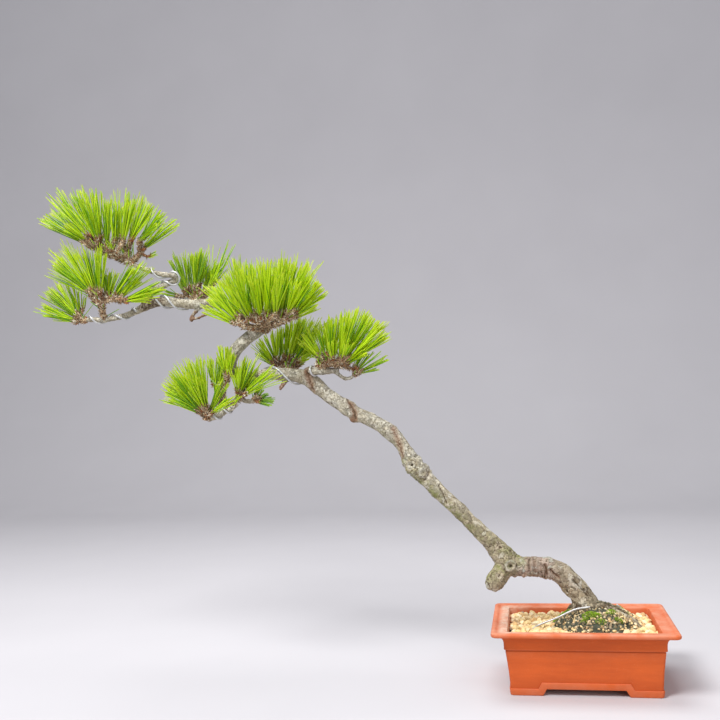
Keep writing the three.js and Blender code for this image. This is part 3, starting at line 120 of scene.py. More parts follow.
# Each spray: how shaded its needles are, as painted shade, and how deep their green, its stems as limb
# stations, and its bundles as their foot, the reach to their needles' tips and their fullness. The dense
# centre, behind_trunk and right pads have the lowest deep, so that their fresher needles are partly painted
# light against the shade the pads cast on themselves.
SPRAYS = {
    "apex": {"shade": 0.0, "deep": 0.44, "stems": [
        [[-531, -6, 511, 2.9], [-546, -7, 518, 2.9], [-562, -5, 525, 2.7], [-580, -3, 533, 2.2]],
        [[-544, -7, 518, 2.4], [-547, -18, 521, 2.3], [-556, -27, 527, 1.9]],
        [[-546, -6, 519, 2.4], [-546, 8, 527, 2.3], [-558, 24, 537, 1.9]],
        [[-538, -6, 514, 2.4], [-527, -8, 519, 2.2], [-521, -9, 524, 1.9]],
        [[-562, -5, 525, 2.4], [-576, 9, 534, 2.2], [-588, 19, 543, 1.8]],
    ], "shoots": [
        [-601, -2, 544, -55, -8, 32, 0.7], [-610, 18, 553, -55, 12, 47, 0.9], [-595, 0, 552, -48, 0, 58, 0.9],
        [-587, -20, 542, -21, -20, 19, 0.7], [-587, 5, 549, -31, 5, 68, 1],
        [-572, -22, 540, -10, -16, 57, 0.9], [-577, -6, 547, -6, -4, 65, 1],
        [-591, 24, 551, -16, 20, 46, 0.6], [-572, 4, 543, -6, 8, 58, 0.7], [-557, -26, 534, 12, -18, 53, 0.8],
        [-556, -8, 540, 8, -4, 52, 1], [-553, 8, 547, 5, 6, 66, 0.6], [-537, -24, 538, 20, -14, 50, 0.9],
        [-547, 20, 547, 11, 16, 59, 0.9], [-537, 0, 542, 27, 2, 48, 0.9], [-521, -4, 542, 34, -6, 34, 0.8],
        [-518, -20, 537, 30, -14, 18, 0.5], [-517, -10, 529, 49, -10, 29, 0.8],
        [-511, -8, 519, 13, -4, 3, 0.3], [-566, 26, 546, -2, 22, 44, 0.7], [-551, -24, 524, -5, -10, 13, 0.3],
    ]},
    "left_middle": {"shade": 0.0, "deep": 0.36, "stems": [
        [[-574, -3, 443, 2.6], [-575, -7, 452, 2.6], [-573, -12, 461, 2.9], [-570, -14, 468, 2.6]],
        [[-573, -12, 461, 2.6], [-582, -15, 468, 2.2]],
        [[-572, -13, 464, 2.6], [-557, -16, 467, 2.2], [-545, -18, 465, 1.9]],
    ], "shoots": [
        [-588, -12, 477, -49, -4, 57, 0.7], [-585, -20, 476, -47, -12, 35, 0.6],
        [-591, -4, 483, -36, 2, 61, 0.7], [-589, -10, 480, -46, 4, 45, 0.5],
        [-580, -14, 479, -14, -6, 54, 0.9], [-572, -22, 476, 4, -8, 57, 0.9],
        [-569, -24, 476, 6, -6, 48, 0.7], [-564, -16, 472, 0, -4, 30, 0.6], [-562, -14, 472, 9, -4, 31, 0.6],
        [-553, -18, 471, 29, -4, 36, 0.9], [-545, -16, 469, 39, 0, 38, 0.9], [-550, -10, 470, 25, 4, 25, 0.4],
        [-539, -18, 465, 56, -8, 13, 0.9], [-537, -22, 463, 40, -10, 3, 0.5],
    ]},
    "far_left": {"shade": 0.05, "deep": 0.36, "stems": [
        [[-597, -5, 444, 2.6], [-604, -5, 444, 2.4], [-608, -5, 445, 2]],
    ], "shoots": [
        [-611, -5, 443, -48, -6, 20, 0.8], [-608, -10, 442, -39, -12, 10, 0.4],
        [-609, -6, 447, -42, -2, 38, 0.9], [-612, 0, 449, -40, 6, 42, 0.6], [-612, 2, 450, -33, 8, 42, 0.3],
        [-609, -4, 451, -16, 0, 44, 0.5], [-610, 4, 456, -5, 4, 29, 0.25], [-605, 0, 457, 4, 0, 18, 0.25],
    ]},
    "back_middle": {"shade": 0.15, "deep": 0.34, "stems": [
        [[-459, 10, 459, 2.8], [-460, 18, 464, 2.6], [-464, 27, 469, 2.6]],
        [[-463, 26, 468, 2.3], [-473, 31, 471, 2]], [[-463, 26, 468, 2.3], [-453, 30, 472, 2]],
    ], "shoots": [
        [-474, 26, 478, -20, 4, 48, 0.7], [-474, 30, 480, -11, 8, 50, 0.6], [-469, 34, 480, -9, 10, 48, 0.5],
        [-463, 28, 481, -2, 0, 46, 0.7], [-461, 26, 482, 7, 2, 51, 1], [-461, 34, 482, 7, 10, 47, 0.7],
        [-455, 40, 472, 4, 10, 39, 0.7], [-452, 36, 472, 14, 8, 43, 0.7], [-447, 30, 476, 23, 4, 39, 0.7],
        [-444, 32, 481, 5, 6, 57, 0.15], [-440, 30, 482, 24, 4, 58, 0.12], [-484, 24, 471, -22, 0, 6, 0.5],
        [-459, 44, 469, 10, 10, 15, 0.6], [-480, 34, 476, -10, 8, 23, 0.5],
    ]},
    "centre": {"shade": 0.0, "deep": 0.02, "stems": [
        [[-369, 9, 429, 3.6], [-364, -4, 422, 3.8], [-359, -15, 420, 3.6], [-352, -26, 424, 3]],
        [[-362, -8, 420, 3], [-373, -19, 422, 2.8], [-384, -24, 424, 2.3]],
        [[-358, -16, 421, 3], [-342, -23, 426, 2.8], [-328, -26, 430, 2.3]],
        [[-356, -20, 422, 2.6], [-356, -34, 425, 2.4], [-348, -43, 428, 2]],
        [[-362, -7, 421, 2.6], [-350, -2, 432, 2.4], [-342, 4, 437, 2]],
        [[-364, -5, 422, 2.6], [-373, -5, 434, 2.4], [-378, 2, 439, 2]],
    ], "shoots": [
        [-396, -24, 428, -38, -8, 23, 0.7], [-394, -18, 430, -34, -4, 31, 0.8],
        [-395, -6, 436, -45, 2, 39, 0.7], [-398, 4, 439, -26, 8, 48, 0.7], [-389, -14, 439, -20, -8, 49, 0.9],
        [-394, 6, 443, -10, 6, 71, 0.9], [-377, -26, 439, -10, -18, 55, 0.9], [-381, -8, 440, -3, -4, 64, 1],
        [-369, -34, 434, -10, -20, 34, 0.6], [-369, -20, 439, -2, -10, 51, 0.9],
        [-372, 2, 439, -7, 10, 68, 0.9], [-365, -14, 437, 5, -6, 65, 1], [-353, -30, 436, 13, -18, 62, 0.9],
        [-358, -4, 437, -1, 0, 53, 0.9], [-357, 8, 441, 2, 12, 62, 0.9], [-346, -24, 436, 11, -12, 51, 0.9],
        [-346, -8, 439, 9, -2, 70, 1], [-341, -18, 438, 17, -8, 60, 0.9], [-343, 6, 440, 5, 10, 70, 0.8],
        [-337, -12, 438, 19, -6, 62, 1], [-327, -32, 436, 19, -20, 37, 0.7], [-332, -2, 440, 24, 4, 66, 0.9],
        [-326, -16, 439, 27, -8, 54, 0.9], [-321, -20, 438, 30, -8, 38, 1], [-322, -8, 438, 31, 4, 35, 0.8],
        [-319, -14, 437, 37, -4, 26, 0.6], [-319, -22, 432, 31, -8, 12, 0.6],
        [-393, -16, 433, -31, 10, 40, 0.6], [-403, 10, 437, -35, 12, 48, 0.5],
        [-372, -36, 431, -10, -40, 40, 0.6], [-357, -42, 432, 2, -40, 42, 0.7],
        [-341, -36, 434, 13, -38, 41, 0.6],
    ]},
    "behind_trunk": {"shade": 0.0, "deep": 0.02, "stems": [
        [[-341, 9, 366, 3], [-342, 20, 369, 3], [-345, 31, 373, 2.7]],
        [[-344, 28, 372, 2.4], [-357, 36, 377, 2]], [[-344, 28, 372, 2.4], [-334, 33, 374, 2]],
    ], "shoots": [
        [-363, 28, 380, -22, 4, 31, 0.6], [-365, 34, 379, -25, 4, 20, 0.4], [-362, 36, 382, -19, 10, 34, 0.6],
        [-359, 30, 383, -4, 2, 40, 0.7], [-359, 38, 383, 0, 10, 44, 0.7], [-350, 34, 386, 3, 6, 44, 0.9],
        [-349, 42, 386, 10, 10, 50, 0.9], [-343, 30, 385, 17, 0, 50, 1], [-341, 36, 387, 21, 6, 52, 0.9],
        [-335, 30, 383, 32, 0, 49, 0.9], [-336, 40, 382, 22, 8, 40, 0.8], [-330, 24, 380, 22, -4, 13, 0.5],
        [-331, 44, 381, 18, 8, 24, 0.7], [-328, 46, 382, 3, 8, 16, 0.5],
    ]},
    "right_pad": {"shade": 0.0, "deep": 0.0, "stems": [
        [[-293, -7, 367, 2.6], [-292, -9, 372, 2.6], [-286, -10, 375, 2.4]],
        [[-292, -8, 371, 2.3], [-300, -4, 372, 2]],
        [[-290, -9, 373, 2.3], [-284, 0, 376, 2.1], [-277, 8, 376, 1.9]],
        [[-290, -9, 372, 2.3], [-284, -20, 374, 2.1], [-274, -31, 376, 1.9]],
        [[-288, -10, 374, 2.3], [-274, -14, 373, 2.1], [-265, -16, 372, 1.9]],
    ], "shoots": [
        [-294, -6, 383, -21, 8, 34, 0.8], [-298, 6, 382, -27, 12, 23, 0.6], [-292, 6, 384, -10, 8, 42, 0.7],
        [-286, -6, 384, -3, 0, 42, 0.8], [-280, -16, 384, 1, -10, 45, 0.8], [-281, 4, 381, 6, 10, 51, 0.9],
        [-273, -34, 378, 1, -14, 22, 0.5], [-269, -8, 381, 6, -2, 55, 0.9], [-268, -16, 379, 17, -10, 57, 1],
        [-261, -36, 379, 13, -16, 20, 0.6], [-267, 2, 381, 17, 10, 59, 1], [-261, -10, 382, 29, -2, 52, 1],
        [-261, -4, 380, 38, 6, 46, 0.9], [-258, -14, 377, 47, -6, 42, 1], [-255, -20, 377, 47, -12, 30, 0.9],
        [-257, -26, 374, 25, -12, 13, 0.8], [-253, -12, 367, 8, 2, 15, 0.4],
    ]},
    "right_tuft": {"shade": 0.2, "deep": 0.3, "stems": [
        [[-253, -13, 359, 1.8], [-250, -14, 362, 1.8]],
    ], "shoots": [
        [-250, -13, 365, 21, 0, 22, 0.4], [-246, -14, 363, 35, -2, 16, 0.5], [-245, -14, 362, 22, -6, 8, 0.3],
    ]},
    "low_left": {"shade": 0.05, "deep": 0.16, "stems": [
        [[-429, -23, 313, 3], [-435, -24, 316, 2.8], [-438, -24, 319, 2.4]],
        [[-434, -24, 315, 2.2], [-430, -34, 317, 2]], [[-435, -24, 316, 2.2], [-438, -14, 318, 2]],
    ], "shoots": [
        [-443, -22, 322, -45, -4, 29, 0.9], [-441, -28, 321, -37, -10, 22, 0.6],
        [-446, -14, 323, -46, 4, 39, 0.9], [-439, -30, 323, -31, -16, 50, 0.8],
        [-442, -20, 325, -27, -6, 41, 0.9], [-444, -10, 326, -33, 8, 52, 0.7],
        [-438, -24, 327, -17, -4, 60, 0.9], [-434, -34, 326, -11, -20, 44, 0.8],
        [-440, -14, 327, -17, 6, 59, 0.8], [-436, -20, 326, -7, 0, 67, 0.7],
        [-431, -32, 327, -1, -18, 37, 0.7], [-424, -16, 332, 2, 0, 58, 0.6],
        [-429, -26, 322, 19, -6, 38, 0.7], [-424, -34, 320, 29, -14, 19, 0.8],
    ]},
    "low_upright": {"shade": 0.05, "deep": 0.16, "stems": [
        [[-408, -22, 323, 2], [-412, -26, 336, 1.9], [-411, -26, 349, 1.9], [-407, -25, 358, 1.9]],
    ], "shoots": [
        [-429, -10, 355, -7, 6, 33, 0.5], [-424, -8, 338, 7, 0, 50, 0.5], [-422, -14, 332, 10, 0, 40, 0.5],
        [-408, -26, 365, -5, 0, 37, 0.7], [-407, -24, 365, 0, 4, 36, 0.8], [-403, -28, 365, 7, -4, 27, 0.8],
        [-408, -20, 366, -12, 4, 22, 0.3],
    ]},
    "low_middle": {"shade": 0.05, "deep": 0.16, "stems": [
        [[-394, -18, 338, 2.2], [-392, -25, 339, 2.2]],
    ], "shoots": [
        [-393, -28, 344, -2, -10, 28, 0.4], [-393, -24, 344, 2, 0, 31, 0.4], [-394, -18, 344, 8, 4, 44, 0.5],
        [-392, -22, 344, 16, 0, 43, 0.6], [-391, -16, 342, 19, 6, 35, 0.6], [-386, -18, 342, 14, 0, 21, 0.4],
        [-385, -28, 341, 43, -10, 29, 0.6], [-397, -34, 330, 10, -8, 10, 0.4],
    ]},
    "low_tuft": {"shade": 0.8, "deep": 0.4, "stems": [
        [[-379, -16, 333, 2], [-374, -15, 334, 1.9]],
    ], "shoots": [
        [-371, -16, 334, 20, -2, -1, 0.4], [-372, -18, 333, 21, -6, -5, 0.3], [-373, -14, 335, 14, 0, 8, 0.4],
        [-375, -12, 336, 7, 2, 12, 0.4], [-377, -12, 337, 11, 4, 21, 0.3],
    ]},
}
TIE_WIRE_RADIUS = 1.15
TIE_WIRE = [
    [9, -21.5, 88], [-6, -21.5, 85.5], [-28, -21.5, 75.5], [-50, -20, 66], [-57, -18, 59],
    [-55, -10, 44], [-42.5, 0, 22], [-40, 0, 9], [-35, 0, 5.1], [0, 0, 5.1], [35, 0, 5.1], [40, 0, 9],
    [42.5, 0, 22], [56, 10, 46], [59, 14, 66], [42, 8, 84],
]
# Training wires: the limb, and places on it given as its curve's share, or its X, and the turns by then.
WOUND_WIRES = {
    "branch_a": ("trunk", [(-468, 0.117), (-506, 0.908)]),
    "branch_b": ("trunk", [(-470, 0.794), (-505, 1.52)]),
    "low_left": ("low_left", [(0.2, 0.712), (0.95, 3.046)]),
    "upper": ("upper", [(0.1, 0.46), (0.4, 1.96), (0.507, 2.12), (0.6, 2.29), (0.82, 3.4)]),
    "bend": ("trunk", [(-320, 0.374), (-372, 1.162)]),
    "right": ("right", [(0.3, 0.0), (0.48, 1.1)]),
    "low_pad": ("low_pad", [(0.42, 0.55), (0.86, 2.75)]),
}
POT = {
    "half_length": 100.0, "half_depth": 77.5, "height": 71.0, "corner": 7.0, "floor_low": 7.0,
    "floor_top": 14.0, "step_z": 49.7, "foot_x": 42.0, "foot_y": 23.0, "foot_slope": 4.0,
    "drain_x": 40.0, "drain_radius": 9.0,
}
# The dark root mound is an oval dome. Its profile: share of the way to its foot, and height.
MOUND = {"x": 19.0, "y": 0.0, "half_length": 48.0, "half_depth": 49.0}
MOUND_PROFILE = [(0.0, 85.0), (0.3, 84.2), (0.6, 79.3), (0.84, 71.9), (1.0, 64.5), (1.12, 59.0)]
GRAVEL_TOP = 63.0
# The pot's inner wall: inset from the rim, and height.
CAVITY_PROFILE = [(27.0, 14.0), (21.5, 49.7), (17.5, 69.4)]
# Each needle pair of a bundle turns by this from the last, so that the pairs spread evenly.
GOLDEN_ANGLE = math.pi * (3 - math.sqrt(5))

# ---- small helpers


def unit(v):
    return v / np.linalg.norm(v, axis=-1, keepdims=True)


def clamp(values, low=0.0, high=1.0):
    return np.clip(values, low, high)


def hump(distance, reach, power=2):
    """1 at no distance, falling smoothly towards 0 past `reach`. A high power gives it a flat top."""
    return np.exp(-((distance / reach) ** power))


def shade(colour, share):
    """A colour made darker, or lighter where the share is over 1."""
    return tuple(part * share for part in colour)


def noise_at(points, size, seed=0.0):
    """Smooth noise, -1 to 1, with features of about `size` millimetres."""
    moved = np.asarray(points) / size + seed
    return np.array([noise.noise(Vector(p)) for p in moved])


def mound_height(x, y):
    """The mound's height, and how far out a place lies: 0 at its middle and 1 at its foot."""
    reach = np.hypot((x - MOUND["x"]) / MOUND["half_length"], (y - MOUND["y"]) / MOUND["half_depth"])
    shares, heights = zip(*MOUND_PROFILE)
    return np.interp(reach, shares, heights), reach


def mound_spot(angle, share):
    """A place on the mound, from its direction and its share of the way to the foot."""
    x = MOUND["x"] + MOUND["half_length"] * share * math.cos(angle)
    y = MOUND["y"] + MOUND["half_depth"] * share * math.sin(angle)
    return x, y, mound_height(x, y)[0]


def cavity_inset(z):
    """How far in from the rim the pot's inner wall lies at a height."""
    insets, heights = zip(*CAVITY_PROFILE)
    return float(np.interp(z, heights, insets))


def smooth_all(mesh):
    mesh.polygons.foreach_set("use_smooth", np.full(len(mesh.polygons), True))


def set_tints(mesh, tints):
    """Gives each point of a mesh its (r, g, b, a) tint, which the finishes read."""
    layer = mesh.color_attributes.get("tint")
    layer = layer or mesh.color_attributes.new(name="tint", type="FLOAT_COLOR", domain="POINT")
    layer.data.foreach_set("color", np.asarray(tints, dtype=np.float32).ravel())


def make_object(name, points, faces, materials, indices=None, tints=None):
    """A new smooth piece from points in millimetres."""
    mesh = bpy.data.meshes.new(name)
    mesh.from_pydata((np.asarray(points) * MM + ORIGIN).tolist(), [], faces)
    for material in materials:
        mesh.materials.append(material)
    if indices is not None:
        mesh.polygons.foreach_set("material_index", np.asarray(indices, dtype=np.int32))
    smooth_all(mesh)
    if tints is not None:
        set_tints(mesh, tints)
    mesh.validate()
    mesh.update()
    piece = bpy.data.objects.new(name, mesh)
    bpy.context.scene.collection.objects.link(piece)
    return piece


def apply_modifiers(piece):
    graph = bpy.context.evaluated_depsgraph_get()
    mesh = bpy.data.meshes.new_from_object(piece.evaluated_get(graph))
    old = piece.data
    piece.modifiers.clear()
    piece.data = mesh
    bpy.data.meshes.remove(old)


def stand_for(piece, slot, *nodes):
    """Puts a piece on the part's one body, in place of the CAD nodes it is the look of."""
    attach(piece, "root")
    if nodes:
        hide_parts(*nodes)


class Shape:
    """Gathers closed parts of one mesh, with a material number for each face and a tint for each point."""

    def __init__(self):
        self.points = []
        self.faces = []
        self.indices = []
        self.tints = []
        self.count = 0

    def add(self, points, faces, index, tints):
        """Takes in one part. tints is one tint for them all, or one for each point."""
        points = np.asarray(points, dtype=float)
        tints = np.asarray(tints, dtype=float)
        self.points.append(points)
        self.faces.extend([[corner + self.count for corner in face] for face in faces])
        self.indices.extend([index] * len(faces))
        self.tints.append(np.tile(tints, (len(points), 1)) if tints.ndim == 1 else tints)
        self.count += len(points)

    def piece(self, name, materials):
        points, tints = np.concatenate(self.points), np.concatenate(self.tints)
        return make_object(name, points, self.faces, materials, self.indices, tints)


def rings_to_faces(levels, sides):
    """Faces of a stack of rings, and its two end caps."""
    faces = []
    for level in range(levels - 1):
        low = level * sides
        for k in range(sides):
            after = (k + 1) % sides
            faces.append([low + k, low + after, low + sides + after, low + sides + k])
    faces.append(list(range(sides))[::-1])
    faces.append([(levels - 1) * sides + k for k in range(sides)])
    return faces


class Limb:
    """A centripetal curve through stations [x, y, z, radius]."""

    def __init__(self, stations):
        data = np.array(stations, dtype=float)
        self.places = data[:, :3]
        self.radii = data[:, 3]
        self.steps = len(data) - 1
        shares = np.linspace(0, 1, 201)
        laps = np.linalg.norm(np.diff(np.array([self.point(t) for t in shares]), axis=0), axis=1)
        self.lengths = np.concatenate([[0], np.cumsum(laps)])
        self.length = float(self.lengths[-1])

    def point(self, t):
        place = min(max(t, 0.0), 1.0) * self.steps
        i = min(int(place), self.steps - 1)
        w = place - i
        p = self.places
        p1 = p[i]
        p2 = p[i + 1]
        p0 = p[i - 1] if i > 0 else 2 * p[0] - p[1]
        p3 = p[i + 2] if i + 2 <= self.steps else 2 * p[-1] - p[-2]
        d0, d1, d2 = (float(np.linalg.norm(b - a)) ** 0.5 for a, b in ((p0, p1), (p1, p2), (p2, p3)))
        m1 = ((p1 - p0) / d0 - (p2 - p0) / (d0 + d1) + (p2 - p1) / d1) * d1
        m2 = ((p2 - p1) / d1 - (p3 - p1) / (d1 + d2) + (p3 - p2) / d2) * d1
        c2 = -3 * p1 + 3 * p2 - 2 * m1 - m2
        c3 = 2 * p1 - 2 * p2 + m1 + m2
        return p1 + m1 * w + c2 * w * w + c3 * w**3

    def along(self, t):
        step = self.point(t + 1e-4) - self.point(t - 1e-4)
        return step / np.linalg.norm(step)

    def radius(self, t):
        place = min(max(t, 0.0), 1.0) * self.steps
        i = min(int(place), self.steps - 1)
        return float(self.radii[i] + (self.radii[i + 1] - self.radii[i]) * (place - i))

    def samples(self, count):
        """Evenly along the curve: (share, point, along, across, radius)."""
        result = []
        across = None
        for t in np.interp(np.linspace(0, self.length, count + 1), self.lengths, np.linspace(0, 1, 201)):
            along = self.along(t)
            if across is None:
                across = np.cross([0, 1, 0], along)
                if np.linalg.norm(across) < 0.3:
                    across = np.cross([1, 0, 0], along)
            across = across - along * float(across @ along)
            across = across / np.linalg.norm(across)
            result.append((t, self.point(t), along, across, self.radius(t)))
        return result


def tube(samples, sides, swell=None):
    """Points and faces of a closed tube. swell(i, angle) scales its radius."""
    points = []
    for i, (_, point, along, across, radius) in enumerate(samples):
        side = np.cross(along, across)
        for k in range(sides):
            angle = 2 * math.pi * k / sides
            reach = radius * (swell(i, angle) if swell else 1.0)
            points.append(point + across * (reach * math.cos(angle)) + side * (reach * math.sin(angle)))
    return points, rings_to_faces(len(samples), sides)


def path_samples(path, radius):
    """Samples of a tube along a path of points, with its ends rounded."""
    path = np.asarray(path, dtype=float)
    tangents = unit(np.gradient(path, axis=0))
    across = np.cross([0.3, 1, 0.2], tangents[0])
    result = []
    for point, along in zip(path, tangents):
        across = across - along * float(across @ along)
        across = across / np.linalg.norm(across)
        result.append((0, point, along, across, radius))

    def cap(sample, way, steps):
        _, point, along, across, _ = sample
        return [(0, point + way * along * radius * s, along, across, radius * c) for s, c in steps]

    dome = ((0.55, 0.8), (0.9, 0.35))
    return cap(result[0], -1, dome[::-1]) + result + cap(result[-1], 1, dome)


# ---- finishes


class Finish:
    """A procedural material, with short calls for its nodes. A size in a call is in millimetres."""

    def __init__(self, name):
        self.material = bpy.data.materials.new(name)
        self.material.use_nodes = True
        self.tree = self.material.node_tree
        self.shader = self.tree.nodes["Principled BSDF"]
        self.place = self.tree.nodes.new("ShaderNodeTexCoord").outputs["Object"]

    def feed(self, socket, value):
        """Links a socket to a node's output, or sets it to a number or a colour."""
        if isinstance(value, bpy.types.NodeSocket):
            self.tree.links.new(value, socket)
        else:
            socket.default_value = (*value, 1.0) if socket.type == "RGBA" else value

    def node(self, kind, inputs, **settings):
        made = self.tree.nodes.new("ShaderNode" + kind)
        for key, value in settings.items():
            setattr(made, key, value)
        for key, value in inputs.items():
            self.feed(made.inputs[key], value)
        return made

    def stretched(self, scale):
        return self.node("Mapping", {"Vector": self.place, "Scale": scale}).outputs["Vector"]

    def noise(self, size, detail=4.0, rough=0.55, vector=None):
        inputs = {"Vector": vector or self.place, "Scale": 1000.0 / size}
        return self.node("TexNoise", {**inputs, "Detail": detail, "Roughness": rough}).outputs["Fac"]

    def specks(self, size):
        """The distance to the nearest of many scattered points."""
        return self.node("TexVoronoi", {"Vector": self.place, "Scale": 1000.0 / size}).outputs["Distance"]

    def flakes(self, size):
        """Ragged flakes: each flake's own value, and the distance to its edge."""
        stir = self.node("TexNoise", {"Vector": self.place, "Scale": 900.0 / size, "Detail": 3.0})
        shift = self.vector("SUBTRACT", {0: stir.outputs["Color"], 1: (0.5, 0.5, 0.5)})
        shift = self.vector("SCALE", {0: shift, "Scale": size * 1.6 * MM})
        inputs = {"Vector": self.vector("ADD", {0: self.place, 1: shift}), "Scale": 1000.0 / size}
        own = self.node("SeparateColor", {"Color": self.node("TexVoronoi", inputs).outputs["Color"]})
        rim = self.node("TexVoronoi", inputs, feature="DISTANCE_TO_EDGE")
        return own.outputs["Red"], rim.outputs["Distance"]

    def vector(self, operation, inputs):
        return self.node("VectorMath", inputs, operation=operation).outputs["Vector"]

    def ramp(self, value, *stops):
        made = self.node("ValToRGB", {"Fac": value})
        elements = made.color_ramp.elements
        while len(elements) < len(stops):
            elements.new(0.5)
        for element, (position, colour) in zip(elements, stops):
            element.position = position
            element.color = (*colour, 1.0)
        return made.outputs["Color"]

    def range(self, value, low, high, to_low=0.0, to_high=1.0):
        inputs = {"Value": value, "From Min": low, "From Max": high, "To Min": to_low, "To Max": to_high}
        return self.node("MapRange", inputs).outputs["Result"]

    def times(self, a, b):
        return self.node("Math", {0: a, 1: b}, operation="MULTIPLY").outputs["Value"]

    def plus(self, a, b):
        return self.node("Math", {0: a, 1: b}, operation="ADD").outputs["Value"]

    def mix(self, share, a, b):
        """From colour `a` where the share is 0 to colour `b` where it is 1."""
        return self.node("Mix", {0: share, 6: a, 7: b}, data_type="RGBA").outputs[2]

    def tint(self):
        """The piece's own tint, as three values."""
        colour = self.node("Attribute", {}, attribute_name="tint").outputs["Color"]
        parts = self.node("SeparateColor", {"Color": colour})
        return parts.outputs["Red"], parts.outputs["Green"], parts.outputs["Blue"]

    def tint_alpha(self):
        return self.node("Attribute", {}, attribute_name="tint").outputs["Alpha"]

    def done(self, colour, roughness, bump=None, depth=0.0, metallic=0.0, specular=0.5):
        looks = {"Base Color": colour, "Roughness": roughness, "Metallic": metallic}
        looks["Specular IOR Level"] = specular
        if bump is not None:
            made = self.node("Bump", {"Height": bump, "Strength": 1.0, "Distance": depth * MM})
            looks["Normal"] = made.outputs["Normal"]
        for key, value in looks.items():
            self.feed(self.shader.inputs[key], value)
        return self.material


def clay_finish(colours):
    """Unglazed clay: fine grain, faint streaks of the hand, paler where the lip is worn.
    tint: red is shade, green is wear, blue is the pale mineral crust inside the left wall."""
    f = Finish("unglazed_clay")
    grain = f.noise(1.1, detail=6, rough=0.7)
    patches = f.noise(34, detail=3)
    streaks = f.noise(9, detail=5, vector=f.stretched((0.25, 0.25, 1.6)))
    tone = f.ramp(patches, (0.3, colours.clay), (0.72, shade(colours.clay, 1.12)))
    tone = f.mix(f.range(streaks, 0.35, 0.75, 0.0, 0.35), tone, colours.clay_streak_and_shade)
    shaded, wear_and_highlight, crust = f.tint()
    # painted shade: the rings' shade darkens the clay under the lip, in the groove, over the foot band, under
    # the pot and in its cavity
    tone = f.mix(f.times(shaded, 0.75), tone, colours.clay_streak_and_shade)
    wear = f.times(wear_and_highlight, f.range(f.noise(16, detail=5), 0.25, 0.7))
    # wear pales the lip's top and the ledge; on the lip's outer edge and the foot band's edges it is painted
    # highlight
    tone = f.mix(wear, tone, colours.clay_wear_and_highlight)
    crust = f.times(crust, f.range(f.noise(6, detail=5), 0.35, 0.6, 0.25, 0.85))
    tone = f.mix(crust, tone, (0.68, 0.50, 0.38))
    tone = f.mix(f.range(f.specks(2.6), 0.0, 0.16, 0.25, 0.0), tone, (0.75, 0.42, 0.26))
    height = f.plus(f.times(grain, 0.6), f.times(streaks, 0.9))
    return f.done(tone, f.range(patches, 0.3, 0.8, 0.68, 0.82), height, 0.22, specular=0.22)


def bark_finish(colours):
    """Flaky bark: whitish crust above, grey-beige in the middle, pinkish at the arch, with a green film.
    tint: red is the depth of a crack, green is the green film, blue runs from whitish to pinkish bark,
    and alpha falls where an old scar shows brown."""
    f = Finish("bark")
    crack_and_shade, lichen_and_shade, zone = f.tint()
    scar_and_shade = f.range(f.tint_alpha(), 1.0, 0.0)
    flake, rim = f.flakes(6.4)
    chip, chip_rim = f.flakes(3.0)
    broad = f.noise(13, detail=4, rough=0.6)
    fine = f.noise(2.6, detail=6, rough=0.66)
    bark, pale, bare = colours.bark, colours.bark_pale, colours.bark_bare
    tone = f.ramp(
        flake, (0.0, shade(bark, 0.6)), (0.25, shade(bark, 0.88)),
        (0.55, bark), (0.8, shade(bark, 1.35)), (1.0, pale),
    )
    arch = f.ramp(
        flake, (0.0, shade(bare, 0.6)), (0.3, shade(bare, 0.85)), (0.6, bare),
        (0.8, (0.37, 0.38, 0.34)), (1.0, shade(bare, 1.3)),
    )
    crust = f.ramp(
        chip, (0.0, shade(pale, 0.42)), (0.3, shade(pale, 0.72)), (0.65, pale), (1.0, shade(pale, 1.2)),
    )
    tone = f.mix(f.times(f.range(zone, 0.5, 1.0), f.range(broad, 0.34, 0.5, 0.45, 1.0)), tone, arch)
    tone = f.mix(f.times(f.range(zone, 0.5, 0.05), f.range(broad, 0.38, 0.55, 0.4, 0.95)), tone, crust)
    green = f.times(lichen_and_shade, f.range(f.noise(7, detail=5, rough=0.6), 0.40, 0.54))
    # the olive film, partly painted shade along the trunk's lower side
    tone = f.mix(f.times(green, f.range(chip, 0.0, 1.0, 1.0, 0.55)), tone, colours.lichen_and_shade)
    tone = f.mix(f.range(fine, 0.455, 0.345, 0.0, 0.8), tone, colours.bark_dark)
    tone = f.mix(f.range(fine, 0.60, 0.68, 0.0, 0.6), tone, shade(pale, 1.15))
    torn = f.noise(9, detail=5, rough=0.7)
    chip_edge = f.times(f.range(chip_rim, 0.0, 0.07, 0.5, 0.0), f.range(torn, 0.58, 0.46))
    tone = f.mix(chip_edge, tone, colours.bark_dark)
    edge = f.times(f.range(rim, 0.0, 0.06, 0.75, 0.0), f.range(torn, 0.43, 0.54))
    tone = f.mix(edge, tone, colours.fissure_and_shade)
    tone = f.mix(f.times(scar_and_shade, f.range(fine, 0.40, 0.62, 0.95, 0.6)), tone, colours.scar_and_shade)
    # the fissures' own dark colour, deepened as painted shade in the cracks, grooves and holes and at the
    # trunk's foot and fork
    crack_and_shade = f.plus(crack_and_shade, f.range(fine, 0.6, 0.35, -0.25, 0.25))
    tone = f.mix(f.range(crack_and_shade, 0.35, 0.9, 0.0, 0.9), tone, colours.fissure_and_shade)
    height = f.plus(fine, f.range(edge, 0.0, 0.75, 0.5, 0.0))
    height = f.plus(height, f.plus(f.range(chip_edge, 0.0, 0.5, 0.3, 0.0), f.times(chip, 0.2)))
    return f.done(tone, f.range(fine, 0.3, 0.7, 0.95, 0.8), height, 1.0, specular=0.2)


